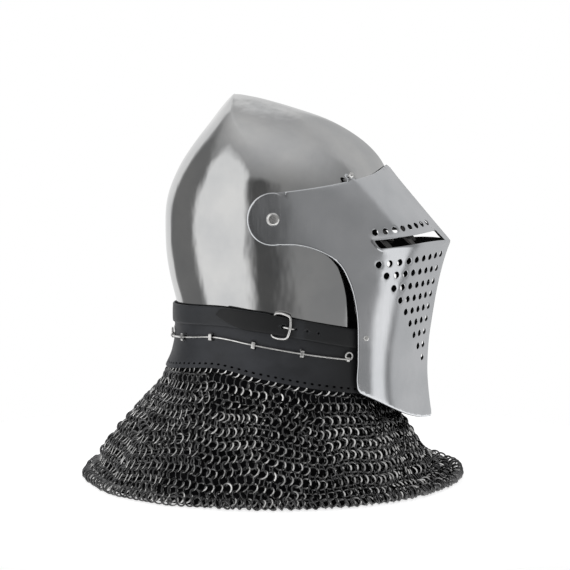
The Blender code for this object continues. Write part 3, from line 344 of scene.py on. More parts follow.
def smooth_path(points, spacing, closed=False):
    """points about one spacing apart on a smooth curve through the given ones"""
    points = np.asarray(points, float)
    if closed:
        points = np.concatenate([points[-3:], points, points[:4]])
    run = lengths_along(points)
    slope = np.gradient(points, run, axis=0)
    first, last = (run[3], run[-4]) if closed else (run[0], run[-1])
    steps = np.linspace(first, last, max(2, int(round((last - first) / spacing)) + 1))
    steps = steps[:-1] if closed else steps
    span = np.clip(np.searchsorted(run, steps, "right") - 1, 0, len(run) - 2)
    gap = (run[span + 1] - run[span])[:, None]
    part = (steps - run[span])[:, None] / gap
    return hermite(part, gap, points[span], points[span + 1], slope[span], slope[span + 1])


def arc(x, y, radius, first, last, count=5):
    """points on a round arc between two turns in degrees"""
    turns = np.radians(np.linspace(first, last, count))
    return [(x + radius * math.cos(t), y + radius * math.sin(t)) for t in turns]


def eased(value):
    """0 below 0 and 1 above 1, with a smooth step between"""
    value = np.clip(value, 0, 1)
    return value * value * (3 - 2 * value)


def quarter(row, end, part):
    """points of a level section, from its front or back end, part 0, to its widest, part 1"""
    end_y, wide, half = row[end], row["wide"], row["half"]
    keel, crease = np.radians(row.get(end + "_keel", 0.0)), np.radians(row.get("crease", 0.0))
    end_full = row.get(end + "_full", BACK_FULL)
    side_full = row["side_full"] if end == "front" else BACK_FULL
    length = wide - end_y
    side = np.sign(length)
    reach, run = end_full * half, side_full * np.abs(length)
    x = (0 * reach, reach * np.cos(keel), half - run * np.sin(crease), half)
    y = (end_y, end_y + side * reach * np.sin(keel), wide - side * run * np.cos(crease), wide)
    weight = ((1 - part) ** 3, 3 * part * (1 - part) ** 2, 3 * part**2 * (1 - part), part**3)
    across = sum(w * c for w, c in zip(weight, x))
    along = sum(w * c for w, c in zip(weight, y))
    inner = np.clip(across / RIDGE_ROUND, 0, 1)
    return across, along + side * np.tan(keel) * RIDGE_ROUND * (1 - inner) ** 2 / 2


def half_section(row, turn):
    """X and Y round half a section: turn 0 is its front, 1 its widest point and 2 its back"""
    front = quarter(row, "front", np.clip(turn, 0, 1))
    back = quarter(row, "back", np.clip(2 - turn, 0, 1))
    return [np.where(turn < 1, *pair) for pair in zip(front, back)]


def folded(turn):
    """turns from 0 to 4, down the +X side and up the -X side, as half a section's turns and their sides"""
    return np.where(turn <= 2, turn, 4 - turn), np.where(turn <= 2, 1.0, -1.0)


def collar(column, y):
    return smooth_table(COLLAR_ROWS, COLLAR_COLUMNS, y)[column]


def band_point(turn, side, part, outward=0.0):
    """a point of the neck band's outer face, moved outward in plan"""
    def plan(turns):
        turns = np.clip(turns, 0, 2)
        x, y = half_section(smooth_table(BAND_ROWS, BAND_COLUMNS, part), turns)
        return np.stack([x, y], axis=-1)

    here = plan(turn)
    along = plan(turn + 1e-3) - plan(turn - 1e-3)
    along /= np.linalg.norm(along, axis=-1, keepdims=True)
    outward = np.asarray(outward)[..., None]
    here = here + outward * np.stack([along[..., 1], -along[..., 0]], axis=-1)
    x = np.where((turn <= 0) | (turn >= 2), 0.0, here[..., 0])
    y = here[..., 1]
    top = collar("strap_top", y) - BAND_HIDDEN_TOP
    return np.stack([side * x, y, top + part * (collar("hem", y) - top)], axis=-1)


def part_at(y, z):
    """how far down the neck band, from 0 to 1, a height lies"""
    top = collar("strap_top", y) - BAND_HIDDEN_TOP
    return (z - top) / (collar("hem", y) - top)


def turn_at_y(y, part=0.1):
    """the turn round the band, at a part of its height, that has this Y"""
    turns = np.linspace(0.02, 1.98, 400)
    path = band_point(turns, 1, part)
    return float(np.interp(y, path[:, 1], turns))


# The visor's plate, in arc length round the face from its ridge and height at the ridge

skull_sections = fair_sections(SKULL_ROWS, SKULL_COLUMNS)
visor_sections = fair_sections(VISOR_ROWS, VISOR_COLUMNS, NOSE_Z)


def visor_curve(z):
    """X, Y and arc length along the visor's sections, for an array of ridge heights"""
    row = {name: values[..., None] for name, values in visor_sections(z).items()}
    part = np.concatenate([np.linspace(0, 0.05, 24, endpoint=False), np.linspace(0.05, 1, 150)])
    x, y = quarter(row, "front", part)
    length = np.hypot(np.diff(x, axis=-1), np.diff(y, axis=-1))
    return x, y, np.concatenate([np.zeros_like(x[..., :1]), np.cumsum(length, axis=-1)], axis=-1)


def visor_point(around, z):
    """points of the visor's outer face"""
    around, z = np.broadcast_arrays(np.asarray(around, float), np.asarray(z, float))
    found = []
    for s, height, xs, ys, run in zip(around.ravel(), z.ravel(), *visor_curve(z.ravel())):
        x, y = np.interp(abs(s), run, xs), np.interp(abs(s), run, ys)
        found.append((math.copysign(x, s), y + max(s - run[-1], 0.0), height - ROW_FALL * abs(s)))
    return np.array(found).reshape(around.shape + (3,))


def visor_frame(around, z, step=0.4):
    """the outer face's point, its outward normal, and its slopes along both of its measures"""
    along = (visor_point(around + step, z) - visor_point(around - step, z)) / (2 * step)
    down = (visor_point(around, z + step) - visor_point(around, z - step)) / (2 * step)
    normal = np.cross(along, down)
    normal /= np.linalg.norm(normal, axis=-1, keepdims=True)
    return visor_point(around, z), normal, along, down


def visor_places(y, z):
    """the arc length and ridge height of the visor's points with these side view positions"""
    y, z = np.asarray(y, float), np.asarray(z, float)
    around = np.full(len(y), 60.0)
    for _ in range(50):
        _, ys, runs = visor_curve(z + ROW_FALL * around)
        found = [np.interp(at, path, run) + max(at - path[-1], 0.0) for at, path, run in zip(y, ys, runs)]
        around += 0.7 * (np.array(found) - around)
    return np.column_stack([around, z + ROW_FALL * around])


def visor_place(y, z):
    return tuple(visor_places([y], [z])[0])


def disc(around, z, diameter, sides):
    """a round hole's outline in the plate's own measures"""
    _, _, along, down = visor_frame(around, z)
    metric = np.array([[along @ along, along @ down], [along @ down, down @ down]])
    values, vectors = np.linalg.eigh(metric)
    inverse = vectors @ np.diag(values**-0.5) @ vectors.T
    turns = (np.arange(sides) + 0.5) / sides * 2 * math.pi
    ring = diameter / 2 * np.stack([np.cos(turns), np.sin(turns)], axis=-1) @ inverse
    return ring + (around, z)


def hole_centres():
    """arc length and ridge height of each breathing hole on one side"""
    places = [(z, drop, first + n * HOLE_PITCH) for z, drop, first, count in HOLE_ROWS for n in range(count)]
    return [(around, z + (ROW_FALL - drop) * around) for z, drop, around in places]


def slot_outline():
    """the sight slot on one side, with its rear corners rounded"""
    outline = [(SLOT_FRONT_TOP, SLOT_TOP_Z - 0.4)]
    outline += [(s, SLOT_TOP_Z) for s in np.arange(22.0, 109.0, SLOT_STEP)]
    for z, turns in ((SLOT_TOP_Z - SLOT_CORNER, (90, 0)), (SLOT_BOTTOM_Z + SLOT_CORNER, (0, -90))):
        outline += arc(SLOT_BACK - SLOT_CORNER, z, SLOT_CORNER, *turns, 6)
    outline += [(s, SLOT_BOTTOM_Z) for s in np.arange(107.0, 54.0, -SLOT_STEP)]
    middle = SLOT_BOTTOM_Z - 0.4 * (SLOT_BOTTOM_Z - SLOT_FRONT_Z)
    lower = ((55.0, SLOT_BOTTOM_Z), (34.0, middle), (SLOT_FRONT_BOTTOM, SLOT_FRONT_Z))
    return np.array(outline + [tuple(p) for p in smooth_path(lower, SLOT_STEP)[1:]])


def visor_outline():
    """one side's outline, from the ridge's top round the ear to the ridge's bottom, in plate measures"""
    top = smooth_path(VISOR_TOP_EDGE, 2.5)
    ear = np.array(arc(PIVOT_Y, PIVOT_Z, EAR_RADIUS, EAR_FROM, EAR_TO, 40))
    below = np.concatenate([smooth_path(VISOR_REAR_EDGE, 2.5), smooth_path(VISOR_BOTTOM_EDGE, 2.5)])
    top, ear, below = (visor_places(*edge.T) for edge in (top, ear, below))
    top[0, 0] = below[-1, 0] = 0.0
    return np.concatenate([with_tongue(top, *visor_place(*PEG_SEAT)), ear, below])


def with_tongue(edge, around, z):
    """the top edge with a round tongue that carries the lifting peg"""
    reach = PEG[0] / 2 + 0.5
    turns = math.pi * (1.1 - 1.2 * np.linspace(0, 1, 12))
    tongue = np.column_stack([around + reach * np.cos(turns), z + reach * np.sin(turns)])
    before, after = edge[:, 0] < around - reach - 0.6, edge[:, 0] > around + reach + 0.6
    return np.concatenate([edge[before], tongue, edge[after]])


def inside(points, outline):
    """which points lie inside a closed outline"""
    x, y = points[:, 0][:, None], points[:, 1][:, None]
    ax, ay = outline[:, 0], outline[:, 1]
    bx, by = np.roll(ax, -1), np.roll(ay, -1)
    with np.errstate(divide="ignore", invalid="ignore"):
        crossing = ((ay > y) != (by > y)) & (x < (bx - ax) * (y - ay) / (by - ay) + ax)
    return crossing.sum(axis=1) % 2 == 1


def distance_to(points, outline, closed=True):
    """how far each point lies from an outline's edges"""
    nearest = np.full(len(points), 1e9)
    ends = np.roll(outline, -1, axis=0)
    for p, q in list(zip(outline, ends))[: None if closed else -1]:
        span = q - p
        part = np.clip(((points - p) @ span) / max(span @ span, 1e-9), 0, 1)
        nearest = np.minimum(nearest, np.linalg.norm(points - p - part[:, None] * span, axis=1))
    return nearest


def plate_triangles(outline, holes, spacing, clearance, extra=(), rims=()):
    """corner points and triangles that fill an outline around its holes, with further points in it"""
    low, high = outline.min(axis=0), outline.max(axis=0)
    grid = []
    for j, z in enumerate(np.arange(low[1], high[1], spacing * GRID_ROW)):
        across = np.arange(low[0] + (j % 2) * spacing / 2, high[0], spacing)
        grid.append(np.column_stack([across, np.full(len(across), z)]))
    grid = np.concatenate(grid)
    extra = np.asarray(extra, float).reshape(-1, 2)
    if len(extra):
        close = [np.min(np.hypot(*(extra - p).T)) for p in grid]
        grid = grid[np.array(close) > spacing * EXTRA_CLEAR]
    grid = np.concatenate([grid, extra])
    keep = inside(grid, outline) & (distance_to(grid, outline) > clearance)
    for hole in holes:
        middle = hole.mean(axis=0)
        near = np.hypot(*(grid - middle).T) < np.hypot(*(hole - middle).T).max() + NEAR_HOLE
        far = distance_to(grid[near], hole) > clearance
        keep[near] &= far & ~inside(grid[near], hole)
    loops = [outline] + list(holes)
    points = [tuple(p) for loop in loops for p in loop] + [tuple(p) for p in grid[keep]] + list(rims)
    edges, start = [], 0
    for loop in loops:
        edges += [(start + n, start + (n + 1) % len(loop)) for n in range(len(loop))]
        start += len(loop)
    found, _, faces, *_ = delaunay_2d_cdt(points, edges, [], 1, 1e-6, False)
    found = np.array([tuple(p) for p in found])
    faces = [tuple(f) for f in faces]
    centres = np.array([found[list(f)].mean(axis=0) for f in faces])
    kept = inside(centres, outline)
    for hole in holes:
        kept &= ~inside(centres, hole)
    return found, [f for f, k in zip(faces, kept) if k]


def visor_sheet():
    """the visor's outer face on one side: points, triangles and how thick the plate is at each point"""
    outline = visor_outline()
    slot = slot_outline()
    top, bottom = outline[0, 1], outline[-1, 1]
    ridge = np.arange(bottom + RIDGE_STEP, top - 2.0, RIDGE_STEP)
    edge = np.column_stack([np.zeros(len(ridge)), ridge])
    holes = [disc(s, z, HOLE_DIAMETER, FINE_HOLE_SIDES) for s, z in hole_centres()] + [slot]
    bores = [disc(*visor_place(*seat), sizes[2] + 2 * GAP, sides)
             for _, seat, sizes, _, sides, _ in VISOR_RIVETS]
    extra = [(s, z) for s in BESIDE_RIDGE for z in ridge]
    extra += [(s, NOSE_Z + d) for s in np.arange(4.5, 14.0, 1.6) for d in BESIDE_NOSE]
    extra += around_outline(slot, BESIDE_SLOT)
    whole = np.concatenate([outline, edge])
    rims = [rim_points(outline, whole, holes, RIM_STEPS)]
    rims += [rim_points(hole, whole, holes, HOLE_STEPS) for hole in holes]
    rims = [tuple(p) for p in np.concatenate(rims)]
    flat, faces = plate_triangles(whole, holes + bores, PLATE_GRID, PLATE_CLEAR, extra, rims)
    points, normal, _, _ = visor_frame(flat[:, 0], flat[:, 1])
    to_edge = distance_to(flat, outline, False)
    to_hole = np.min([distance_to(flat, hole) for hole in holes], axis=0)
    drop = RIM_DROP * rounded(to_edge / RIM_REACH) + HOLE_DROP * rounded(to_hole / HOLE_REACH)
    rise = LIP_RISE * eased(1 - distance_to(flat, slot) / LIP_REACH)
    rise -= ROLL_DROP * np.clip(1 - to_edge / ROLL_REACH, 0, 1) ** 2 * (flat[:, 1] < ROLL_TOP_Z)
    points = points + (rise - drop)[:, None] * normal
    points[np.abs(flat[:, 0]) < 1e-6, 0] = 0.0
    return points, faces, 1 - drop / VISOR_PLATE


def rounded(part):
    """the fall of a quarter round, from 1 at its edge to 0 a whole reach away"""
    return 1 - np.sqrt(1 - np.clip(1 - part, 0, 1) ** 2)


def rim_points(edge, whole, holes, steps):
    """points beside an edge of the plate, at these distances from it, that lie on the plate"""
    found = []
    for step in steps:
        row = np.array(around_outline(edge, (step,)))
        keep = inside(row, whole) & (distance_to(row, edge) > 0.85 * step) & (row[:, 0] > 0.5)
        for hole in holes:
            keep &= ~inside(row, hole) & (distance_to(row, hole) > 0.85 * min(step, HOLE_REACH))
        found.append(row[keep])
    return np.concatenate(found)


def around_outline(outline, distances):
    """points on each side of an outline, at these distances from it"""
    along = np.roll(outline, -1, axis=0) - np.roll(outline, 1, axis=0)
    along /= np.linalg.norm(along, axis=1, keepdims=True)
    away = np.column_stack([along[:, 1], -along[:, 0]])
    return [tuple(p + side * d * a) for d in distances for p, a in zip(outline, away) for side in (-1, 1)]


def mirrored(points, faces):
    """a half sheet at +X and its mirror image, joined along the middle plane"""
    image, both = {}, [tuple(p) for p in points]
    for n, (x, y, z) in enumerate(points):
        if abs(x) < 1e-6:
            image[n] = n
        else:
            image[n] = len(both)
            both.append((-x, y, z))
    return both, list(faces) + [tuple(image[n] for n in reversed(f)) for f in faces]


# Meshes

def add_piece(name, points, faces, look):
    """a mesh object from points in millimetres"""
    mesh = bpy.data.meshes.new(name)
    corners = [tuple(c * MM for c in p) for p in points]
    mesh.from_pydata(corners, [], [tuple(int(n) for n in f) for f in faces])
    mesh.update()
    if look is not None:
        mesh.materials.append(look)
    mesh.shade_smooth()
    made = bpy.data.objects.new(name, mesh)
    bpy.context.collection.objects.link(made)
    return made


def give_values(item, name, values):
    """stores a value at each point of a piece, for its material to read"""
    stored = item.data.attributes.new(name, "FLOAT", "POINT")
    stored.data.foreach_set("value", np.asarray(values, np.float32).ravel())


def face_outward(item, closed=True):
    """turns a closed mesh's faces to point out of it, or an open sheet's away from the head"""
    shape = bmesh.new()
    shape.from_mesh(item.data)
    bmesh.ops.remove_doubles(shape, verts=shape.verts, dist=1e-7)
    bmesh.ops.recalc_face_normals(shape, faces=shape.faces)
    if not closed:
        shape.normal_update()
        middle = Vector(HEAD_MIDDLE)
        if sum(f.normal.dot(f.calc_center_median() - middle) * f.calc_area() for f in shape.faces) < 0:
            bmesh.ops.reverse_faces(shape, faces=shape.faces)
    shape.to_mesh(item.data)
    shape.free()


def thicken(item, plate, inner_shade_look=None, weights=None):
    """gives a sheet its thickness inward, with painted shade, a matt black look, on the inner face, and also
    on its edges and hole walls where the thickness varies
    """
    solid = item.modifiers.new("plate", "SOLIDIFY")
    solid.thickness = plate * MM
    solid.offset = -1
    solid.use_even_offset = True
    if inner_shade_look is not None:
        item.data.materials.append(inner_shade_look)
        solid.material_offset = 1
        # where the thickness varies, as on the visor, its edges and hole walls take the black painted shade
        # too
        solid.material_offset_rim = 1 if weights is not None else 0
    if weights is not None:
        group = item.vertex_groups.new(name="thickness")
        for n, weight in enumerate(weights):
            group.add([n], float(weight), "REPLACE")
        solid.vertex_group = group.name


def soften(item, width, degrees):
    """rounds the edges and keeps the broad faces' shading clean"""
    bevel = item.modifiers.new("edges", "BEVEL")
    bevel.width = width * MM
    bevel.segments = 2
    bevel.limit_method = "ANGLE"
    bevel.angle_limit = math.radians(degrees)
    weighted = item.modifiers.new("shading", "WEIGHTED_NORMAL")
    weighted.weight = 60


def cut(item, cutter):
    boolean = item.modifiers.new("cut", "BOOLEAN")
    boolean.operation = "DIFFERENCE"
    boolean.solver = "EXACT"
    boolean.object = cutter
    cutter.hide_render = True
    cutter.hide_viewport = True
    cutter.display_type = "WIRE"


def apply_modifiers(item):
    """turns a piece's modifiers into its mesh"""
    bpy.context.view_layer.update()
    evaluated = item.evaluated_get(bpy.context.evaluated_depsgraph_get())
    mesh = bpy.data.meshes.new_from_object(evaluated)
    item.modifiers.clear()
    item.data = mesh


def grid_faces(rows, columns, wrap):
    """quads between the rows of a grid of points, whose columns may close into a ring"""
    last = columns if wrap else columns - 1
    return [
        (r * columns + c, r * columns + (c + 1) % columns, (r + 1) * columns + (c + 1) % columns,
         (r + 1) * columns + c)
        for r in range(rows - 1)
        for c in range(last)
    ]


def prism(name, outline, half_width):
    """a closed block from a side outline in Y and Z, through the whole width"""
    count = len(outline)
    points = [(-half_width, y, z) for y, z in outline] + [(half_width, y, z) for y, z in outline]
    ends = [tuple(range(count)), tuple(range(2 * count - 1, count - 1, -1))]
    made = add_piece(name, points, grid_faces(2, count, True) + ends, None)
    face_outward(made)
    return made


def spoke(turn, across, up):
    """the direction at this turn from one direction toward another"""
    return math.cos(turn) * across + math.sin(turn) * up


def turned(name, profile, base, axis, look, sides=28):
    """a solid of revolution from radius and height pairs, standing on a base along an axis"""
    axis = np.asarray(axis, float) / np.linalg.norm(axis)
    across = np.cross(axis, (0, 0, 1.0))
    across /= np.linalg.norm(across)
    third = np.cross(axis, across)
    turns = np.arange(sides) * 2 * math.pi / sides
    points = [np.asarray(base) + height * axis + radius * spoke(turn, across, third)
              for radius, height in profile for turn in turns]
    made = add_piece(name, points, grid_faces(len(profile), sides, True), look)
    face_outward(made)
    return made


def tube(name, path, radii, look, sides=12, closed=False):
    """a round wire of one or several radii along a path of points"""
    path = np.asarray(path, float)
    count = len(path)
    radii = np.broadcast_to(radii, count)
    tangents = np.roll(path, -1, axis=0) - np.roll(path, 1, axis=0) if closed else np.gradient(path, axis=0)
    tangents = tangents / np.linalg.norm(tangents, axis=1, keepdims=True)
    side = np.cross(tangents[0], (0.3, 0.2, 1.0))
    turns = np.arange(sides) * 2 * math.pi / sides
    points = []
    for centre, tangent, radius in zip(path, tangents, radii):
        side = side - (side @ tangent) * tangent
        side /= np.linalg.norm(side)
        third = np.cross(tangent, side)
        points += [centre + radius * spoke(turn, side, third) for turn in turns]
    faces = grid_faces(count, sides, True)
    last = (count - 1) * sides
    if closed:
        shift = int(np.argmin([np.linalg.norm(points[n] - points[last]) for n in range(sides)]))
        faces += [(last + n, last + (n + 1) % sides, (n + 1 + shift) % sides, (n + shift) % sides)
                  for n in range(sides)]
    else:
        faces += [tuple(reversed(range(sides))), tuple(range(last, last + sides))]
    made = add_piece(name, points, faces, look)
    face_outward(made)
    return made


def stands_for(item, body, slot, *nodes):
    """seats a piece on its body and hides the CAD nodes that it replaces; the finish, slot, is not used"""
    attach(item, body)
    if nodes:
        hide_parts(*nodes)
    return item


# Steel pieces

def make_skull(look, inner_shade_look):
    """the skull's plate, fine enough for clean reflections"""
    front = np.concatenate([[0, 0.0012, 0.0028, 0.005, 0.009, 0.016], np.linspace(0.03, 1, 44)])
    half = np.concatenate([front, 2 - front[-2::-1]])
    turns, sides = folded(np.concatenate([half, 4 - half[-2:0:-1]]))
    steps = np.minimum(APEX_STEP * APEX_GROWTH ** np.arange(400), PLATE_GRID)
    levels = SKULL_ROWS[-1][0] - np.concatenate([[0], np.cumsum(steps)])
    levels = levels[levels > SKULL_LOW_Z]
    points = []
    for z in levels:
        x, y = half_section(skull_sections(z), turns)
        points += list(zip(sides * x, y, np.full(len(turns), z)))
    count = len(turns)
    faces = grid_faces(len(levels), count, True)
    faces += [(n, (n + 1) % count, len(points)) for n in range(count)]
    skull = add_piece("skull_plate", points + [APEX], faces, look)
    face_outward(skull, closed=False)
    thicken(skull, SKULL_PLATE, inner_shade_look)
    cut(skull, prism("face_cutter", [*smooth_path(FACE_EDGE, 4.0), *FACE_CORNERS], 130.0))
    for side, word in ((-1, "right"), (1, "left")):
        radius = PIVOT_RIVET[2] / 2 + GAP
        bore = turned(f"pivot_cutter_{word}", ((0, 0), (radius, 0), (radius, 30), (0, 30)),
                      (side * 80.0, PIVOT_Y, PIVOT_Z), (side, 0, 0), None, 20)
        cut(skull, bore)
    skull.data.set_sharp_from_angle(angle=math.radians(34))
    return stands_for(skull, "helmet", "polished_steel", "skull")


def make_visor(look, inner_shade_look):
    """the visor's pierced plate, thinner at its rounded edges"""
    points, faces, thickness = visor_sheet()
    both, faces = mirrored(points, faces)
    weights = np.concatenate([thickness, thickness[np.abs(points[:, 0]) >= 1e-6]])
    visor = add_piece("visor_plate", both, faces, look)
    face_outward(visor, closed=False)
    thicken(visor, VISOR_PLATE, inner_shade_look, weights)
    apply_modifiers(visor)
    visor.data.set_sharp_from_angle(angle=math.radians(38))
    return stands_for(visor, "visor", "polished_steel", "visor")


RIVET_FLAT = 0.26  # of a head's width that stays flat


def plate_rivet(name, place, side, sizes, under, look, body):
    """a rivet through the visor: its domed head outside, its shank, and its inner head below a depth"""
    head, rise, shank, inner, inner_rise = sizes
    point, normal, _, _ = visor_frame(*place)
    base, axis = (side, 1, 1) * point, (side, 1, 1) * normal
    edge = 0.22 * rise
    profile = [(0, -under - inner_rise), (inner / 2 * 0.9, -under - inner_rise),
               (inner / 2, -under - inner_rise * 0.7), (inner / 2, -under), (shank / 2, -under),
               (shank / 2, GAP), (head / 2 * 0.97, GAP), (head / 2, GAP + edge * 0.4)]
    for turn in np.radians(np.linspace(12, 90, 8)):
        radius = RIVET_FLAT * head + (0.5 - RIVET_FLAT) * head * math.cos(turn)
        profile.append((radius, GAP + edge + (rise - edge) * math.sin(turn)))
    profile.append((0, GAP + rise))
    rivet = turned(name, profile, base, axis, look)
    rivet.data.set_sharp_from_angle(angle=math.radians(50))
    return stands_for(rivet, body, "bright_steel", name.replace("_head", ""))


# Leather pieces

def band_surface(lengths, turns, u, part):
    """points of the band's outer face, a little uneven, at lengths round the neck and parts of its height"""
    wave = 0.22 * np.sin(u / 13 + 2 * part) + 0.18 * np.sin(u / 29 + 5 * part + 1)
    wave = wave + 0.25 * part * np.sin(u / 47)
    return band_point(*folded(np.interp(u, lengths, turns)), part, wave)


def make_band(look):
    """the neck band, with its row of thong holes and the slots for its staples"""
    turns = np.linspace(0, 4, 1601)
    lengths = lengths_along(band_point(*folded(turns), 0.7))
    whole, tall = lengths[-1], BAND_TALL
    low_edge = np.linspace(0, whole, int(whole / BAND_EDGE_STEP) + 1)
    side_edge = np.linspace(0, tall, 18)[1:-1]
    outline = np.concatenate([
        np.column_stack([low_edge, np.zeros(len(low_edge))]),
        np.column_stack([np.full(len(side_edge), whole), side_edge]),
        np.column_stack([low_edge[::-1], np.full(len(low_edge), tall)]),
        np.column_stack([np.zeros(len(side_edge)), side_edge[::-1]]),
    ])
    holes = []
    for u in np.linspace(0, whole, int(whole / THONG_PITCH), endpoint=False) + THONG_PITCH / 2:
        ring = np.arange(8) * math.pi / 4
        holes.append(np.column_stack([u + THONG_LONG / 2 * np.cos(ring),
                                      tall - THONG_ABOVE_HEM + THONG_TALL / 2 * np.sin(ring)]))
    across, up = STAPLE_LOOK_WIDTH / 2 + GAP, STAPLE_HEIGHT / 2 + GAP
    for place in STAPLE_PLACES:
        part = float(part_at(place, collar("wire", place)))
        turn = turn_at_y(place, part)
        for at in (turn, 4 - turn):
            u = float(np.interp(at, turns, lengths))
            corners = ((-across, -up), (across, -up), (across, up), (-across, up))
            holes.append(np.array([(u + a, part * tall + b) for a, b in corners]))
    flat, faces = plate_triangles(outline, holes, BAND_GRID, 1.0)
    points = band_surface(lengths, turns, flat[:, 0], flat[:, 1] / tall)
    points[np.abs(flat[:, 0] % whole) < 1e-6, 0] = 0.0
    band = add_piece("neck_band", points, faces, look)
    face_outward(band, closed=False)
    thicken(band, BAND_LEATHER)
    soften(band, 0.4, 50)
    return stands_for(band, "helmet", "black_leather", "leather_band")


STRAP_STEP = 0.022  # in turns round the neck
STRAP_SHADOW_FACES = (0, 13)  # of the faces round the strap's section: its lower edge's faces, painted black as a shadow line
# Across its width and through its thickness, rounded, with a slightly crowned outer face
STRAP_SECTION = (
    (0.0, 0.3), (0.012, 0.75), (0.045, 0.96), (0.13, 1.02), (0.32, 1.08), (0.5, 1.1), (0.68, 1.08),
    (0.87, 1.02), (0.955, 0.96), (0.988, 0.75), (1.0, 0.3), (0.96, 0.0), (0.5, 0.0), (0.04, 0.0),
)


def strap_section(turn, side, lift, below, above):
    """the strap's section at a turn round the neck, reaching this far from its middle, in widths"""
    y = band_point(turn, side, 0.1)[1]
    top = float(collar("strap_top", y))
    corners = []
    for height in (top - STRAP_WIDTH * (0.5 + below), top - STRAP_WIDTH * (0.5 - above)):
        part = max(float(part_at(y, height)), 0.0)
        for offset in (0, STRAP_LEATHER):
            found = band_point(turn, side, part, GAP + lift + offset)
            corners.append(np.array((found[0], found[1], height)))
    low_in, low_out, high_in, high_out = corners
    points = []
    for across, depth in STRAP_SECTION:
        inner = low_in + across * (high_in - low_in)
        outer = low_out + across * (high_out - low_out)
        points.append(inner + depth * (outer - inner))
    return points


def make_strap(look, edge_shadow_look):
    """one ribbon round the neck: its tail lies over its own other end on the wearer's right"""
    over = STRAP_LEATHER + 2 * GAP + 0.4
    tail_end, settle, heel = (turn_at_y(y) for y in (TAIL_END_Y, TAIL_END_Y - 20, BUCKLE_HEEL_Y + 3.4))
    runs, below, above = np.array(TAIL_TAPER).T
    stations = []
    for run in np.concatenate([np.linspace(0, 3, 6, endpoint=False), np.linspace(3, runs[-1], 12)]):
        reach = np.interp(run, runs, below), np.interp(run, runs, above)
        stations.append((turn_at_y(TAIL_TIP_Y - run), -1, over, *reach))
    legs = ((stations[-1][0], tail_end, -1, over, over), (tail_end, settle, -1, over, 0.0),
            (settle, 0.0, -1, 0.0, 0.0), (0.0, 2.0, 1, 0.0, 0.0), (2.0, heel, -1, 0.0, 0.0))
    for first, last, side, before, after in legs:
        for turn in np.linspace(first, last, max(2, int(abs(last - first) / STRAP_STEP) + 1))[1:]:
            lift = before + (after - before) * float(eased((turn - first) / (last - first)))
            stations.append((turn, side, lift, 0.5, 0.5))
    sections = [strap_section(*station) for station in stations]
    count = len(sections[0])
    points = [p for section in sections for p in section]
    faces = grid_faces(len(sections), count, True)
    last = count * (len(sections) - 1)
    faces += [tuple(reversed(range(count))), tuple(range(last, last + count))]
    strap = add_piece("neck_strap", points, faces, look)
    strap.data.materials.append(edge_shadow_look)
    # painted shadow: the strap's lower edge faces take the matt black look
    for face in strap.data.polygons[: count * (len(sections) - 1)]:
        face.material_index = int(face.index % count in STRAP_SHADOW_FACES)
    # The tail is dyed darkest; the strap in front of it is darkened nearly as much with painted shade, toward
    # the visor
    dye_and_shade = np.repeat([1.0 if lift > over / 2 else (0.6 if side < 0 and turn < settle + 0.01 else 0.0)
                      for turn, side, lift, _, _ in stations], count)
    give_values(strap, "dye_and_shade", dye_and_shade)
    face_outward(strap)
    for n, y in enumerate(STRAP_HOLES_Y):
        cut(strap, strap_bore(f"strap_cutter_{n}", y, STRAP_HOLE_DIAMETER / 2))
    cut(strap, strap_bore("prong_cutter", BUCKLE_HEEL_Y - PRONG_HOLE_AHEAD, PRONG_HOLE_DIAMETER / 2))
    strap.data.set_sharp_from_angle(angle=math.radians(55))
    return stands_for(strap, "helmet", "black_leather", "strap")


def directions(here, ahead):
    """a place on the neck, with its outward, forward and upward directions"""
    forward = (ahead - here) / np.linalg.norm(ahead - here)
    outward = np.cross(forward, (0, 0, 1.0))
    outward *= np.sign(outward @ (here[0], here[1] + 10, 0)) / np.linalg.norm(outward)
    up = np.cross(outward, forward)
    return here, outward, forward, up * np.sign(up[2])


def strap_centre(y):
    """the middle of the strap on the wearer's right, with its directions"""
    places = [band_point(turn_at_y(y) - ahead, -1, 0.1, GAP) for ahead in (0, 0.01)]
    for place in places:
        place[2] = collar("strap_top", place[1]) - STRAP_WIDTH / 2
    return directions(*places)


def strap_bore(name, y, radius):
    here, outward, _, _ = strap_centre(y)
    return turned(name, ((0, -1.2), (radius, -1.2), (radius, 12), (0, 12)), tuple(here), outward, None, 14)


# Bright fittings

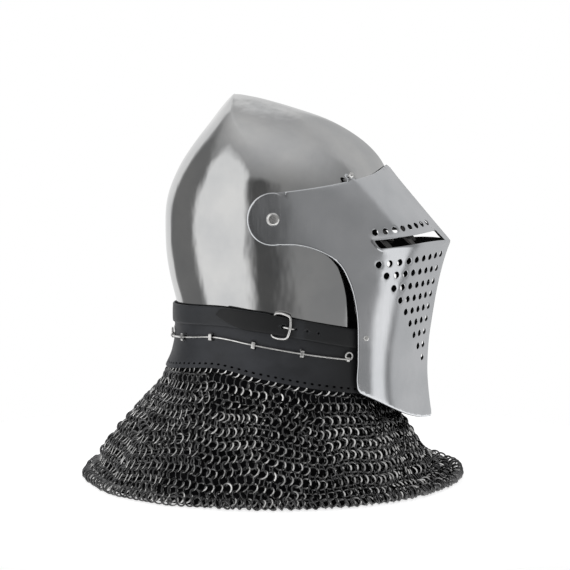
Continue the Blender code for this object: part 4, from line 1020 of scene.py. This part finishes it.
def make_buckle(look):
    """a round wire frame: its heel lies under the tail, its front bar over the strap"""
    here, outward, forward, up = strap_centre(BUCKLE_HEEL_Y)
    length, width = BUCKLE_LENGTH - BUCKLE_WIRE, BUCKLE_WIDTH - BUCKLE_WIRE
    corner, heel_corner = 4.5, 2.7
    heel_out = BUCKLE_WIRE / 2
    bar_out = heel_out + STRAP_LEATHER + BUCKLE_WIRE + 1.0
    path = []
    for first in (0, 90, 180, 270):
        across = corner if first in (0, 270) else heel_corner
        centre_a = length - corner if first in (0, 270) else heel_corner
        centre_b = (width / 2 - corner) * (1 if first < 180 else -1)
        for turn in np.radians(first + 30.0 * np.arange(4)):
            a, b = centre_a + across * math.cos(turn), centre_b + corner * math.sin(turn)
            rise = heel_out + (bar_out - heel_out) * a / length
            path.append(here + a * forward + b * up + rise * outward)
    buckle = tube("buckle_frame_wire", smooth_path(path, 1.2, True), BUCKLE_WIRE / 2, look, 14, True)
    stands_for(buckle, "helmet", "bright_steel", "buckle_frame")
    stops = ((2.6, heel_out), (9.2, heel_out + 0.3), (11.4, bar_out + 0.8),
             (length, bar_out + BUCKLE_WIRE / 2 + 1.4), (length + 5.0, bar_out + BUCKLE_WIRE / 2 + 0.4))
    path = smooth_path([here + a * forward + rise * outward for a, rise in stops], 0.8)
    radii = np.interp(np.linspace(0, 1, len(path)), (0, 0.7, 0.95, 1), (1.0, 1.0, 0.85, 0.5))
    prong = tube("buckle_prong_wire", path, radii, look, 12)
    return stands_for(prong, "helmet", "bright_steel", "buckle_prong")


def staple_frame(y, side):
    """where the wire passes on the band at this Y, with its directions"""
    part = float(part_at(y, collar("wire", y)))
    return directions(*(band_point(turn_at_y(y, part) - ahead, side, part) for ahead in (0, 0.01)))


def make_staple(name, y, side, look, twist):
    """a bent flat staple from the skull out through the band, with a square eye for the wire"""
    here, outward, forward, up = staple_frame(y, side)
    forward = forward + twist * up
    foot = -BAND_LEATHER - GAP
    tall, bend = STAPLE_HEIGHT / 2, 1.9
    outer = [(foot, tall)] + arc(STAPLE_STANDS - bend, tall - bend, bend, 90, 0)
    outer += arc(STAPLE_STANDS - bend, bend - tall, bend, 0, -90) + [(foot, -tall)]
    low, small = tall - STAPLE_PLATE, 0.5
    crown = STAPLE_STANDS - STAPLE_PLATE
    inner = [(foot, -low)] + arc(crown - small, small - low, small, -90, 0)
    inner += arc(crown - small, low - small, small, 0, 90) + [(foot, low)]
    shape = outer + inner
    points = [here + r * outward + v * up + w * forward
              for w in (-STAPLE_LOOK_WIDTH / 2, STAPLE_LOOK_WIDTH / 2) for r, v in shape]
    count = len(shape)
    flanks = [(base + n, base + n + 1, base + count - 2 - n, base + count - 1 - n)
              for base in (0, count) for n in range(len(outer) - 1)]
    staple = add_piece(name + "_clip", points, grid_faces(2, count, True) + flanks, look)
    face_outward(staple)
    soften(staple, 0.3, 50)
    return stands_for(staple, "helmet", "bright_steel", name)


def wire_path(side):
    """from the eye at the back through the staples to the eye at the cheek"""
    first, last = turn_at_y(WIRE_BACK_Y, 0.5), turn_at_y(WIRE_FRONT_Y, 0.5)
    path = []
    for turn in np.linspace(first, last, 15)[1:-1]:
        here, outward, _, _ = staple_frame(float(band_point(turn, 1, 0.5)[1]), side)
        path.append(here + WIRE_STAND * outward)
    for y, lean in ((WIRE_BACK_Y, -1), (WIRE_FRONT_Y, 1)):
        here, outward, forward, up = staple_frame(y, side)
        eye = eye_points(here + WIRE_STAND * outward, lean * forward, up, outward)
        path = path + eye if lean > 0 else eye[::-1] + path
    return path


def eye_points(start, ahead, up, outward):
    """a round eye of wire above the wire's end, turned until it nearly meets the wire"""
    points = [start - 2.0 * ahead]
    for part in np.linspace(0, 1, 9):
        turn = math.pi * (1.72 * part - 0.5)
        points.append(start + EYE_RADIUS * (up + spoke(turn, ahead, up)) + EYE_LIFT * part * outward)
    return points


def make_wire(word, side, look):
    path = smooth_path(wire_path(side), 1.1)
    wire = tube(f"lacing_wire_{word}", path, WIRE_DIAMETER / 2, look, 10)
    stands_for(wire, "helmet", "bright_steel", f"wire_{word}")
    reach = WIRE_DIAMETER / 2 + WRAP_RADIUS + 0.1
    for n, (y, lean) in enumerate(((WIRE_FRONT_Y, 1), (WIRE_BACK_Y, -1))):
        here, outward, forward, up = staple_frame(y, side)
        centre = here + WIRE_STAND * outward - 0.9 * lean * forward
        coil = [centre + 1.5 * lean * (t / 10 - 1) * forward + reach * spoke(t, outward, 1.25 * up)
                for t in np.linspace(0, 2 * math.pi * WRAP_TURNS, 64)]
        wrap = tube(f"wire_wrap_{word}_{n + 1}", coil, WRAP_RADIUS, look, 8)
        stands_for(wrap, "helmet", "bright_steel")


# Mail

def skirt_ring(part, turns, sides):
    """a level of the mail skirt, from the band's lower edge to the round hem"""
    top = band_point(turns, sides, 1.0)
    row = smooth_table(SKIRT_ROWS, SKIRT_COLUMNS, part)
    hem = {"front": HEM_FRONT, "back": HEM_BACK, "wide": (HEM_FRONT + HEM_BACK) / 2, "half": HEM_HALF,
           "front_full": HEM_FULL, "side_full": HEM_FULL}
    x, y = half_section(hem, turns)
    to_front = 0.5 - 0.5 * y / np.hypot(x, y)
    grown = row["back"] + (row["front"] - row["back"]) * to_front**2
    rim = np.stack([sides * x, y], axis=-1)
    plan = top[:, :2] + grown[:, None] * (rim - top[:, :2])
    start = top[:, 2] - GAP
    return np.column_stack([plan, start + part * (FLOOR_Z - start)])


SKIRT_TURNS, SKIRT_STEPS = 480, 90


def skirt_grid():
    """the skirt's outer face: evenly spaced down each slope, and closed round the neck"""
    turn = np.arange(SKIRT_TURNS) * 4.0 / SKIRT_TURNS
    levels = np.array([skirt_ring(p, *folded(turn)) for p in np.linspace(0, 1, SKIRT_STEPS)])
    length = np.linalg.norm(np.diff(levels, axis=0), axis=2)
    run = np.concatenate([np.zeros((1, SKIRT_TURNS)), np.cumsum(length, axis=0)])
    even = np.empty_like(levels)
    for n in range(SKIRT_TURNS):
        targets = np.linspace(0, run[-1, n], SKIRT_STEPS)
        for axis in range(3):
            even[:, n, axis] = np.interp(targets, run[:, n], levels[:, n, axis])
    down = np.linspace(0, 1, SKIRT_STEPS)[:, None]
    folds = sum(size * np.sin(count * turn * math.pi / 2 + phase + 0.8 * down)
                for count, phase, size in SKIRT_FOLDS)
    folds = folds * FOLD_HEIGHT * eased(down * 1.4) * (1 - 0.6 * eased((down - 0.7) / 0.3))
    even += folds[..., None] * surface_normals(even)
    return even, surface_normals(even)


def surface_normals(grid):
    across = np.roll(grid, -1, axis=1) - np.roll(grid, 1, axis=1)
    down = np.gradient(grid, axis=0)
    normal = np.cross(down, across)
    return normal / np.linalg.norm(normal, axis=2, keepdims=True)


def sample(grid, down, turn):
    """the grid's values at parts of its slope and turns round the neck"""
    at = np.clip(down, 0, 1) * (SKIRT_STEPS - 1)
    row = np.clip(at.astype(int), 0, SKIRT_STEPS - 2)
    b = (at - row)[:, None]
    around = np.mod(turn, 4.0) * SKIRT_TURNS / 4.0
    column = around.astype(int) % SKIRT_TURNS
    a = (around - around.astype(int))[:, None]
    following = (column + 1) % SKIRT_TURNS
    return ((1 - b) * ((1 - a) * grid[row, column] + a * grid[row, following])
            + b * ((1 - a) * grid[row + 1, column] + a * grid[row + 1, following]))


def row_downs(n, turns):
    """how far down the slope a row's rings hang: the rows sag in soft folds, less at the top and hem"""
    level, around = (n + 0.15) / (RING_ROWS - 0.35), turns * math.pi / 2
    sag = sum(size * np.sin(count * around + phase + lag * level) for size, count, phase, lag in ROW_SAGS)
    return level + sag * math.sin(math.pi * level)


def ring_rows(grid):
    """turns of the rings in each row: they hang between those above, with one more here and there"""
    chance = np.random.default_rng(SEED)
    rows = []
    turns = np.linspace(0, 4, 961)
    for n in range(RING_ROWS):
        path = sample(grid, row_downs(n, turns), turns)
        run = lengths_along(path)
        whole = run[-1]
        wanted = int(round(whole / RING_PITCH))
        if n == 0:
            places = np.arange(wanted) * whole / wanted
        else:
            above = np.sort(np.interp(np.mod(rows[-1], 4.0), turns, run))
            following = np.append(above[1:], above[0] + whole)
            places = (above + following) / 2
            gaps = following - above
            for _ in range(wanted - len(places)):
                pick = int(np.argmax(gaps * chance.uniform(0.8, 1.2, len(gaps))))
                places = np.insert(places, pick + 1, places[pick] + gaps[pick] * 0.5)
                places[pick] -= gaps[pick] * 0.12
                gaps[pick] *= 0.5
                gaps = np.insert(gaps, pick + 1, gaps[pick])
            for _ in range(8):
                before, after = np.roll(places, 1), np.roll(places, -1)
                before[0] -= whole
                after[-1] += whole
                places = places + 0.35 * ((before + after) / 2 - places)
        rows.append(np.interp(np.mod(places, whole), run, turns))
    return rows


def make_mail(look):
    """interlinked rings, each through its neighbours in the rows above and below"""
    grid, normals = skirt_grid()
    chance = np.random.default_rng(SEED + 1)
    centres, outs, alongs, leans, wears_and_highlights = [], [], [], [], []
    for n, turns in enumerate(ring_rows(grid)):
        down = row_downs(n, turns)
        centre, out = sample(grid, down, turns), sample(normals, down, turns)
        ahead = sample(grid, row_downs(n, turns + 0.01), turns + 0.01)
        along = (ahead - centre) / np.linalg.norm(ahead - centre, axis=1, keepdims=True)
        sunk = RING_SUNK + RING_SUNK_TOP * (1 - eased(down * 7))
        centre = centre - sunk[:, None] * out + chance.normal(0, RING_STRAY[n > RING_ROWS - 3], centre.shape)
        if n == 0:
            centre[:, 2] += FIRST_ROW_RISE
        centres.append(centre)
        outs.append(out)
        alongs.append(along)
        leans.append(np.full(len(turns), RING_LEANS[n % 2]))
        wears_and_highlights.append(np.full(len(turns), RING_WEAR_AND_HIGHLIGHT[n % 2]))
    centre, out, along, wear_and_highlight = (np.concatenate(each) for each in (centres, outs, alongs, wears_and_highlights))
    count = len(centre)
    around, downs = np.arctan2(centre[:, 1], centre[:, 0]), (centre[:, 2] - FLOOR_Z) / 30
    drape = 9 * np.sin(7 * around + 2.2 * downs) + 7 * np.sin(13 * around - 4 * downs + 1)
    lean = np.radians(np.concatenate(leans) + drape + chance.normal(0, RING_TILT, count))[:, None]
    tip = np.radians(chance.normal(0, RING_TILT, count))[:, None]
    across = np.cross(out, along)
    axis = np.cos(lean) * out + np.sin(lean) * along + np.sin(tip) * across
    axis /= np.linalg.norm(axis, axis=1, keepdims=True)
    first = np.cross(axis, along)
    first /= np.linalg.norm(first, axis=1, keepdims=True)
    second = np.cross(axis, first)
    floor = FLOOR_Z + RING_WIRE / 2 + RING_RADIUS * np.hypot(first[:, 2], second[:, 2])
    centre[:, 2] = np.maximum(centre[:, 2], floor)
    start = chance.uniform(0, 2 * math.pi, count)[:, None]
    turns = start + np.linspace(0, 2 * math.pi - 0.05, RING_STEPS + 1)
    quarter_of = np.floor(np.mod(np.arctan2(centre[:, 1], centre[:, 0]) / (math.pi / 2), 4)).astype(int)
    radius = RING_RADIUS + chance.normal(0, 0.07, count)[:, None]
    for part in range(4):
        picked = np.flatnonzero(quarter_of == part)
        rings, normals = ring_points(centre[picked], axis[picked], first[picked], second[picked],
                                     turns[picked], radius[picked])
        # one side of every ring is brightened: partly wear where it stands out, partly a painted highlight
        aside = ((rings - centre[picked, None, None]) * along[picked, None, None]).sum(axis=-1) / RING_RADIUS
        brightened = wear_and_highlight[picked, None, None] * eased((aside + 0.25) / 1.1)
        made = ring_mesh(f"mail_rings_{part + 1}", rings, normals, brightened, look)
        stands_for(made, "helmet", "dark_mail", "aventail")


SHADE_SHEET_DEPTH = 7.4  # inward from the skirt's outer face
SHADE_SHEET_RISES = (8.0, 4.0)  # of its first two levels, above the band's lower edge
BAND_FALL = 60.0  # from the band's top to its lower edge
SHADE_SHEET_END = 0.965  # of the way to the hem


def make_shade_sheet(look):
    """a black sheet behind the rings, painted shade for the gaps between them, from behind the band's lower
    edge to just short of the hem
    """
    grid, normals = skirt_grid()
    turn = np.arange(0, SKIRT_TURNS, 2) * 4.0 / SKIRT_TURNS
    behind = [band_point(*folded(turn), 1 - rise / BAND_FALL, -BAND_LEATHER - 1.0) for rise in SHADE_SHEET_RISES]
    sheet = (grid - SHADE_SHEET_DEPTH * normals)[2 : int(SKIRT_STEPS * SHADE_SHEET_END) : 2, ::2]
    sheet[..., 2] = np.maximum(sheet[..., 2], FLOOR_Z + 0.6)
    sheet = np.concatenate([behind, sheet])
    rows, columns, _ = sheet.shape
    shade_sheet = add_piece("mail_shade_sheet", sheet.reshape(-1, 3), grid_faces(rows, columns, True), look)
    face_outward(shade_sheet, closed=False)
    stands_for(shade_sheet, "helmet", "dark_mail", "aventail")


def ring_points(centre, axis, first, second, turns, radius):
    """points and normals of flattened wires bent into rings, as ring, step and side"""
    spokes = np.cos(turns)[..., None] * first[:, None] + np.sin(turns)[..., None] * second[:, None]
    spokes = spokes[:, :, None]
    axis = axis[:, None, None]
    section, facing = np.array(RING_SECTION)[:, :, None], np.array(RING_NORMALS)[:, :, None]
    wire = RING_WIDTH / 2 * section[:, 0] * spokes + RING_WIRE / 2 * section[:, 1] * axis
    middle = centre[:, None, None] + radius[..., None, None] * spokes
    return middle + wire, facing[:, 0] * spokes + facing[:, 1] * axis


def ring_mesh(name, rings, normals, brightened, look):
    """one mesh of many rings, each with its two butted ends closed, and how far it is brightened, by wear and
    by a painted highlight
    """
    count, steps, sides, _ = rings.shape
    ring = [face[::-1] for face in grid_faces(steps, sides, True)]
    ring += [tuple(range(sides)), tuple(range(steps * sides - 1, (steps - 1) * sides - 1, -1))]
    faces = [tuple(base + n for n in face) for base in range(0, count * steps * sides, steps * sides)
             for face in ring]
    made = add_piece(name, rings.reshape(-1, 3), faces, look)
    made.data.normals_split_custom_set_from_vertices(normals.reshape(-1, 3).astype(np.float32))
    give_values(made, "brightened", brightened)
    return made


# Materials

# Dark and light colour, lowest and highest roughness, and the height of slow waves and of ripple
SKULL_STEEL = ((0.56, 0.565, 0.57), (0.64, 0.64, 0.635), 0.05, 0.12, 1.7, 0.5)
VISOR_STEEL = ((0.63, 0.645, 0.665), (0.71, 0.72, 0.74), 0.12, 0.22, 1.2, 0.16)
# Dark and light colour, and roughness
BAND_DYE = ((0.029, 0.031, 0.036), (0.05, 0.053, 0.061), 0.52)
STRAP_DYE = ((0.028, 0.03, 0.034), (0.044, 0.047, 0.053), 0.5)
# the darkest leather colour: the tail's dye, and the painted shade toward the front
DEEP_DYE_AND_SHADE = (0.0075, 0.008, 0.009)


def give(tree, socket, value):
    """links an input to another node's output, or sets its value"""
    if isinstance(value, bpy.types.NodeSocket):
        tree.links.new(value, socket)
    else:
        socket.default_value = value


def node(tree, kind, inputs=None, **settings):
    """a shader node with its settings, and its inputs set or linked"""
    made = tree.nodes.new(kind)
    for name, value in settings.items():
        setattr(made, name, value)
    for name, value in (inputs or {}).items():
        give(tree, made.inputs[name], value)
    return made


def maths(tree, operation, *values):
    return node(tree, "ShaderNodeMath", dict(enumerate(values)), operation=operation).outputs[0]


def noise(tree, scale, detail=3.0, stretch=(1, 1, 1), turn=(0, 0, 0)):
    """a noise value at this scale over the piece, in metres"""
    place = node(tree, "ShaderNodeTexCoord").outputs["Object"]
    moved = node(tree, "ShaderNodeMapping", {"Vector": place, "Scale": stretch, "Rotation": turn})
    made = node(tree, "ShaderNodeTexNoise", {"Vector": moved.outputs[0], "Scale": scale, "Detail": detail})
    return made.outputs["Fac"]


def ranged(tree, value, low, high, first, last):
    """a value mapped from one range to another"""
    made = node(tree, "ShaderNodeMapRange", {"Value": value, "From Min": low, "From Max": high,
                                            "To Min": first, "To Max": last})
    return made.outputs["Result"]


def mixed(tree, factor, first, last):
    """a colour between two others, which are outputs or red, green and blue"""
    first, last = ((*colour, 1) if isinstance(colour, tuple) else colour for colour in (first, last))
    return node(tree, "ShaderNodeMix", {"Factor": factor, 6: first, 7: last}, data_type="RGBA").outputs[2]


def bumped(tree, height, distance, under=None):
    inputs = {"Height": height, "Distance": distance * MM, "Strength": 1.0}
    if under is not None:
        inputs["Normal"] = under
    return node(tree, "ShaderNodeBump", inputs).outputs["Normal"]


def new_look(name):
    made = bpy.data.materials.new(name)
    made.use_nodes = True
    return made, made.node_tree


def shade(tree, **sockets):
    """sets or links inputs of a material's shader"""
    for name, value in sockets.items():
        give(tree, tree.nodes["Principled BSDF"].inputs[name.replace("_", " ")], value)


def polished_steel(name, dark, light, low, high, waves, ripple):
    """hand-worked plate: slow waves left by the hammer, a closer ripple and fine polishing lines"""
    made, tree = new_look(name)
    patches = noise(tree, 22, 4)
    lines = noise(tree, 700, 2, (1, 1, 0.08), (0.3, 0.1, 0.4))
    slow = bumped(tree, noise(tree, 13, 1.5), waves)
    middle = bumped(tree, noise(tree, 45, 2, (1, 1, 0.5)), ripple, slow)
    shade(tree, Metallic=1.0,
          Base_Color=mixed(tree, ranged(tree, patches, 0.35, 0.65, 0, 1), dark, light),
          Roughness=ranged(tree, maths(tree, "ADD", patches, lines), 0.8, 1.25, low, high),
          Normal=bumped(tree, lines, 0.0015, middle))
    return made


def bright_steel():
    made, tree = new_look("bright_fittings")
    worn = noise(tree, 260, 3)
    shade(tree, Metallic=1.0,
          Base_Color=mixed(tree, ranged(tree, worn, 0.35, 0.7, 0, 1), (0.86, 0.855, 0.84), (0.62, 0.61, 0.6)),
          Roughness=ranged(tree, worn, 0.3, 0.7, 0.14, 0.34),
          Normal=bumped(tree, noise(tree, 900, 2), 0.03))
    return made


def black_leather(name, dark, light, rough):
    """smooth dark leather with a fine grain, soft creases and paler worn places, with painted shade that
    darkens it toward the front
    """
    made, tree = new_look(name)
    place = node(tree, "ShaderNodeTexCoord").outputs["Object"]
    grain = node(tree, "ShaderNodeTexVoronoi", {"Vector": place, "Scale": 1500.0}, feature="SMOOTH_F1")
    brightened = noise(tree, 30, 5, (1, 1, 1.6))
    creases = noise(tree, 120, 5, (0.5, 0.5, 1.5))
    dye_and_shade = node(tree, "ShaderNodeAttribute", attribute_name="dye_and_shade").outputs["Fac"]
    # painted shade: the leather is darkened toward the front, where the visor shades it
    forward = ranged(tree, node(tree, "ShaderNodeSeparateXYZ", {0: place}).outputs[1], -0.01, -0.08, 0, 0.85)
    colour = mixed(tree, ranged(tree, brightened, 0.35, 0.7, 0, 1), dark, light)
    # the tail's dye, and the painted shade at the front, both darken toward the deepest colour
    for factor in (forward, dye_and_shade):
        colour = mixed(tree, factor, colour, DEEP_DYE_AND_SHADE)
    shade(tree, Specular_IOR_Level=0.42, Base_Color=colour,
          Roughness=ranged(tree, brightened, 0.3, 0.7, rough - 0.06, rough + 0.08),
          Normal=bumped(tree, grain.outputs["Distance"], 0.05, bumped(tree, creases, 0.12)))
    return made


def dark_mail():
    """blackened wire, brightened on one side of each ring, in some places more than in others: partly worn
    bright where it stands out, partly a painted highlight
    """
    made, tree = new_look("dark_mail_wire")
    brightened = node(tree, "ShaderNodeAttribute", attribute_name="brightened").outputs["Fac"]
    each = ranged(tree, noise(tree, 95, 2), 0.35, 0.65, 0.35, 1.15)
    region = ranged(tree, noise(tree, 20, 2), 0.38, 0.62, 0.45, 1.1)
    for factor in (each, region):
        brightened = maths(tree, "MULTIPLY", brightened, factor)
    fine = noise(tree, 700, 3)
    shade(tree, Metallic=1.0,
          Base_Color=mixed(tree, brightened, (0.11, 0.11, 0.112), (0.97, 0.965, 0.95)),
          Roughness=ranged(tree, fine, 0.3, 0.7, 0.14, 0.32),
          Normal=bumped(tree, fine, 0.04))
    return made


# matt black painted shade for the sheet behind the rings, with a fine noise
def shade_sheet_black():
    made, tree = new_look("painted_shade_sheet")
    weave = noise(tree, 1800, 2)
    shade(tree, Specular_IOR_Level=0.1, Roughness=0.95,
          Base_Color=mixed(tree, weave, (0.006, 0.006, 0.007), (0.016, 0.016, 0.018)),
          Normal=bumped(tree, weave, 0.15))
    return made


def painted_shade_black(name, rough):
    """matt black painted shade, for the plates' inner faces and the visor's edges and hole walls, and a
    painted shadow line on the strap's lower edge
    """
    made, tree = new_look(name)
    worn = noise(tree, 140, 3)
    shade(tree, Specular_IOR_Level=0.2, Roughness=rough,
          Base_Color=mixed(tree, worn, (0.004, 0.004, 0.0045), (0.012, 0.012, 0.013)))
    return made


def dark_steel():
    made, tree = new_look("dark_plate")
    shade(tree, Metallic=1.0,
          Base_Color=mixed(tree, noise(tree, 120, 3), (0.1, 0.1, 0.1), (0.17, 0.165, 0.16)),
          Roughness=ranged(tree, noise(tree, 300, 2), 0.3, 0.7, 0.4, 0.6))
    return made


# Studio

CAMERA_PLACE = (-1.84599, -0.13192, -0.002)
CAMERA_TURN, CAMERA_FALL = 3.6, 4.994  # degrees from +X toward +Y, and downward
CAMERA_LENS, CAMERA_SENSOR = 111.98, 36.0


def make_camera():
    turn, fall = math.radians(CAMERA_TURN), math.radians(CAMERA_FALL)
    ahead = Vector((math.cos(turn) * math.cos(fall), math.sin(turn) * math.cos(fall), -math.sin(fall)))
    data = bpy.data.cameras.new("camera")
    data.sensor_width = CAMERA_SENSOR
    data.lens = CAMERA_LENS
    data.clip_end = 50
    made = bpy.data.objects.new("camera", data)
    made.location = CAMERA_PLACE
    made.rotation_euler = ahead.to_track_quat("-Z", "Y").to_euler()
    bpy.context.collection.objects.link(made)
    bpy.context.scene.camera = made
    bpy.context.scene.view_settings.view_transform = "Standard"


FLOOR_RADIUS = 460.0

# A plain grey studio: floor, wall and ceiling, then softboxes and dark flags, all in degrees.
# Azimuth 0 is behind the camera, and grows toward the helmet's back
ROOM = ((-90, 0.4), (20, 0.3), (90, 0.7))  # elevation, grey
BOX_SOFT, BOX_CORNER = 6.0, 22.0
SOFTBOXES = (  # azimuth from, to, elevation from, to, grey
    (20, 80, -60, 50, 1.0),  # key beside the camera, toward the nape
    (130, 200, -60, 60, 0.9),  # rim light on the far side
    (80, 130, -60, 40, 0.2),  # dark flag behind the helmet
    (0, 20, -60, 30, 0.1),  # narrow dark flag at the key's edge
    (-170, -100, -60, 60, 0.6),  # pale wall ahead of the face
    (-90, -50, -60, 0, 1.0),  # low fill ahead of the face
)


def make_world():
    """a plain grey studio with soft boxes and flags, and a white background"""
    world = bpy.data.worlds.new("studio")
    bpy.context.scene.world = world
    world.use_nodes = True
    tree = world.node_tree
    ray = node(tree, "ShaderNodeSeparateXYZ", {0: node(tree, "ShaderNodeTexCoord").outputs["Generated"]})
    azimuth = maths(tree, "ARCTAN2", ray.outputs[1], maths(tree, "MULTIPLY", ray.outputs[0], -1.0))
    elevation = maths(tree, "ARCSINE", ray.outputs[2])
    azimuth, elevation = (maths(tree, "MULTIPLY", angle, 180 / math.pi) for angle in (azimuth, elevation))
    ramp = node(tree, "ShaderNodeValToRGB", {0: ranged(tree, elevation, -90, 90, 0, 1)})
    ramp.color_ramp.interpolation = "EASE"
    stops = ramp.color_ramp.elements
    stops.remove(stops[1])
    for n, (height, grey) in enumerate(ROOM):
        stop = stops.new((height + 90) / 180) if n else stops[0]
        stop.color = (grey, grey, grey, 1)
    colour = ramp.outputs[0]
    for first, last, low, high, grey in SOFTBOXES:
        offset = maths(tree, "SUBTRACT", azimuth, (first + last) / 2)
        offset = maths(tree, "WRAP", offset, 180.0, -180.0)
        height = maths(tree, "SUBTRACT", elevation, (low + high) / 2)
        corner = min(BOX_CORNER, (last - first) / 2, (high - low) / 2)
        past = []
        for value, half in ((offset, (last - first) / 2), (height, (high - low) / 2)):
            beyond = maths(tree, "SUBTRACT", maths(tree, "ABSOLUTE", value), half - corner)
            past.append(maths(tree, "POWER", maths(tree, "MAXIMUM", beyond, 0.0), 2.0))
        reach = maths(tree, "SQRT", maths(tree, "ADD", *past))
        span = {"Value": reach, "From Min": corner + BOX_SOFT, "From Max": corner - BOX_SOFT}
        edge = node(tree, "ShaderNodeMapRange", span, interpolation_type="SMOOTHSTEP")
        colour = mixed(tree, edge.outputs[0], colour, (grey, grey, grey))
    seen = node(tree, "ShaderNodeLightPath").outputs["Is Camera Ray"]
    background = tree.nodes["Background"]
    tree.links.new(mixed(tree, seen, colour, (1.0, 1.0, 1.0)), background.inputs["Color"])


def make_floor():
    """a plain pale floor at the height of the mail's hem"""
    turns = np.arange(72) * math.pi / 36
    points = [(FLOOR_RADIUS * math.cos(t), FLOOR_RADIUS * math.sin(t), FLOOR_Z - 0.5) for t in turns]
    floor = add_piece("floor", points, [tuple(range(72))], None)
    made, tree = new_look("pale_floor")
    shade(tree, Base_Color=(0.86, 0.86, 0.86, 1), Roughness=0.8,
          Emission_Color=(1, 1, 1, 1), Emission_Strength=0.65)
    floor.data.materials.append(made)


def main():
    plate = polished_steel("polished_plate", *SKULL_STEEL)
    visor_plate = polished_steel("brushed_plate", *VISOR_STEEL)
    fitting = bright_steel()
    leather = black_leather("band_leather", *BAND_DYE)
    strap_leather = black_leather("strap_leather", *STRAP_DYE)
    # painted shade: the plates' insides, and the visor's edges and hole walls, are matt black
    inside = painted_shade_black("inner_painted_shade", 0.6)
    bars = dark_steel()
    make_camera()
    make_world()
    make_floor()

    make_skull(plate, inside)
    make_visor(visor_plate, inside)
    for side, word in ((-1, "right"), (1, "left")):
        for name, seat, sizes, under, _, body in VISOR_RIVETS:
            plate_rivet(f"{name}_head_{word}", visor_place(*seat), side, sizes, under, fitting, body)
        for n, (y, twist) in enumerate(zip(STAPLE_PLACES, STAPLE_TWISTS)):
            make_staple(f"vervelle_{word}_{n + 1}", y, side, fitting, twist)
        make_wire(word, side, fitting)
        for n in (1, 2):
            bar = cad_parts[f"sight_bar_{word}_{n}"]
            bar.data.materials.clear()
            bar.data.materials.append(bars)
    make_band(leather)
    # the strap's lower edge gets a painted shadow line in matt black
    make_strap(strap_leather, painted_shade_black("strap_edge_painted_shadow", 0.7))
    make_buckle(fitting)
    make_mail(dark_mail())
    make_shade_sheet(shade_sheet_black())


main()
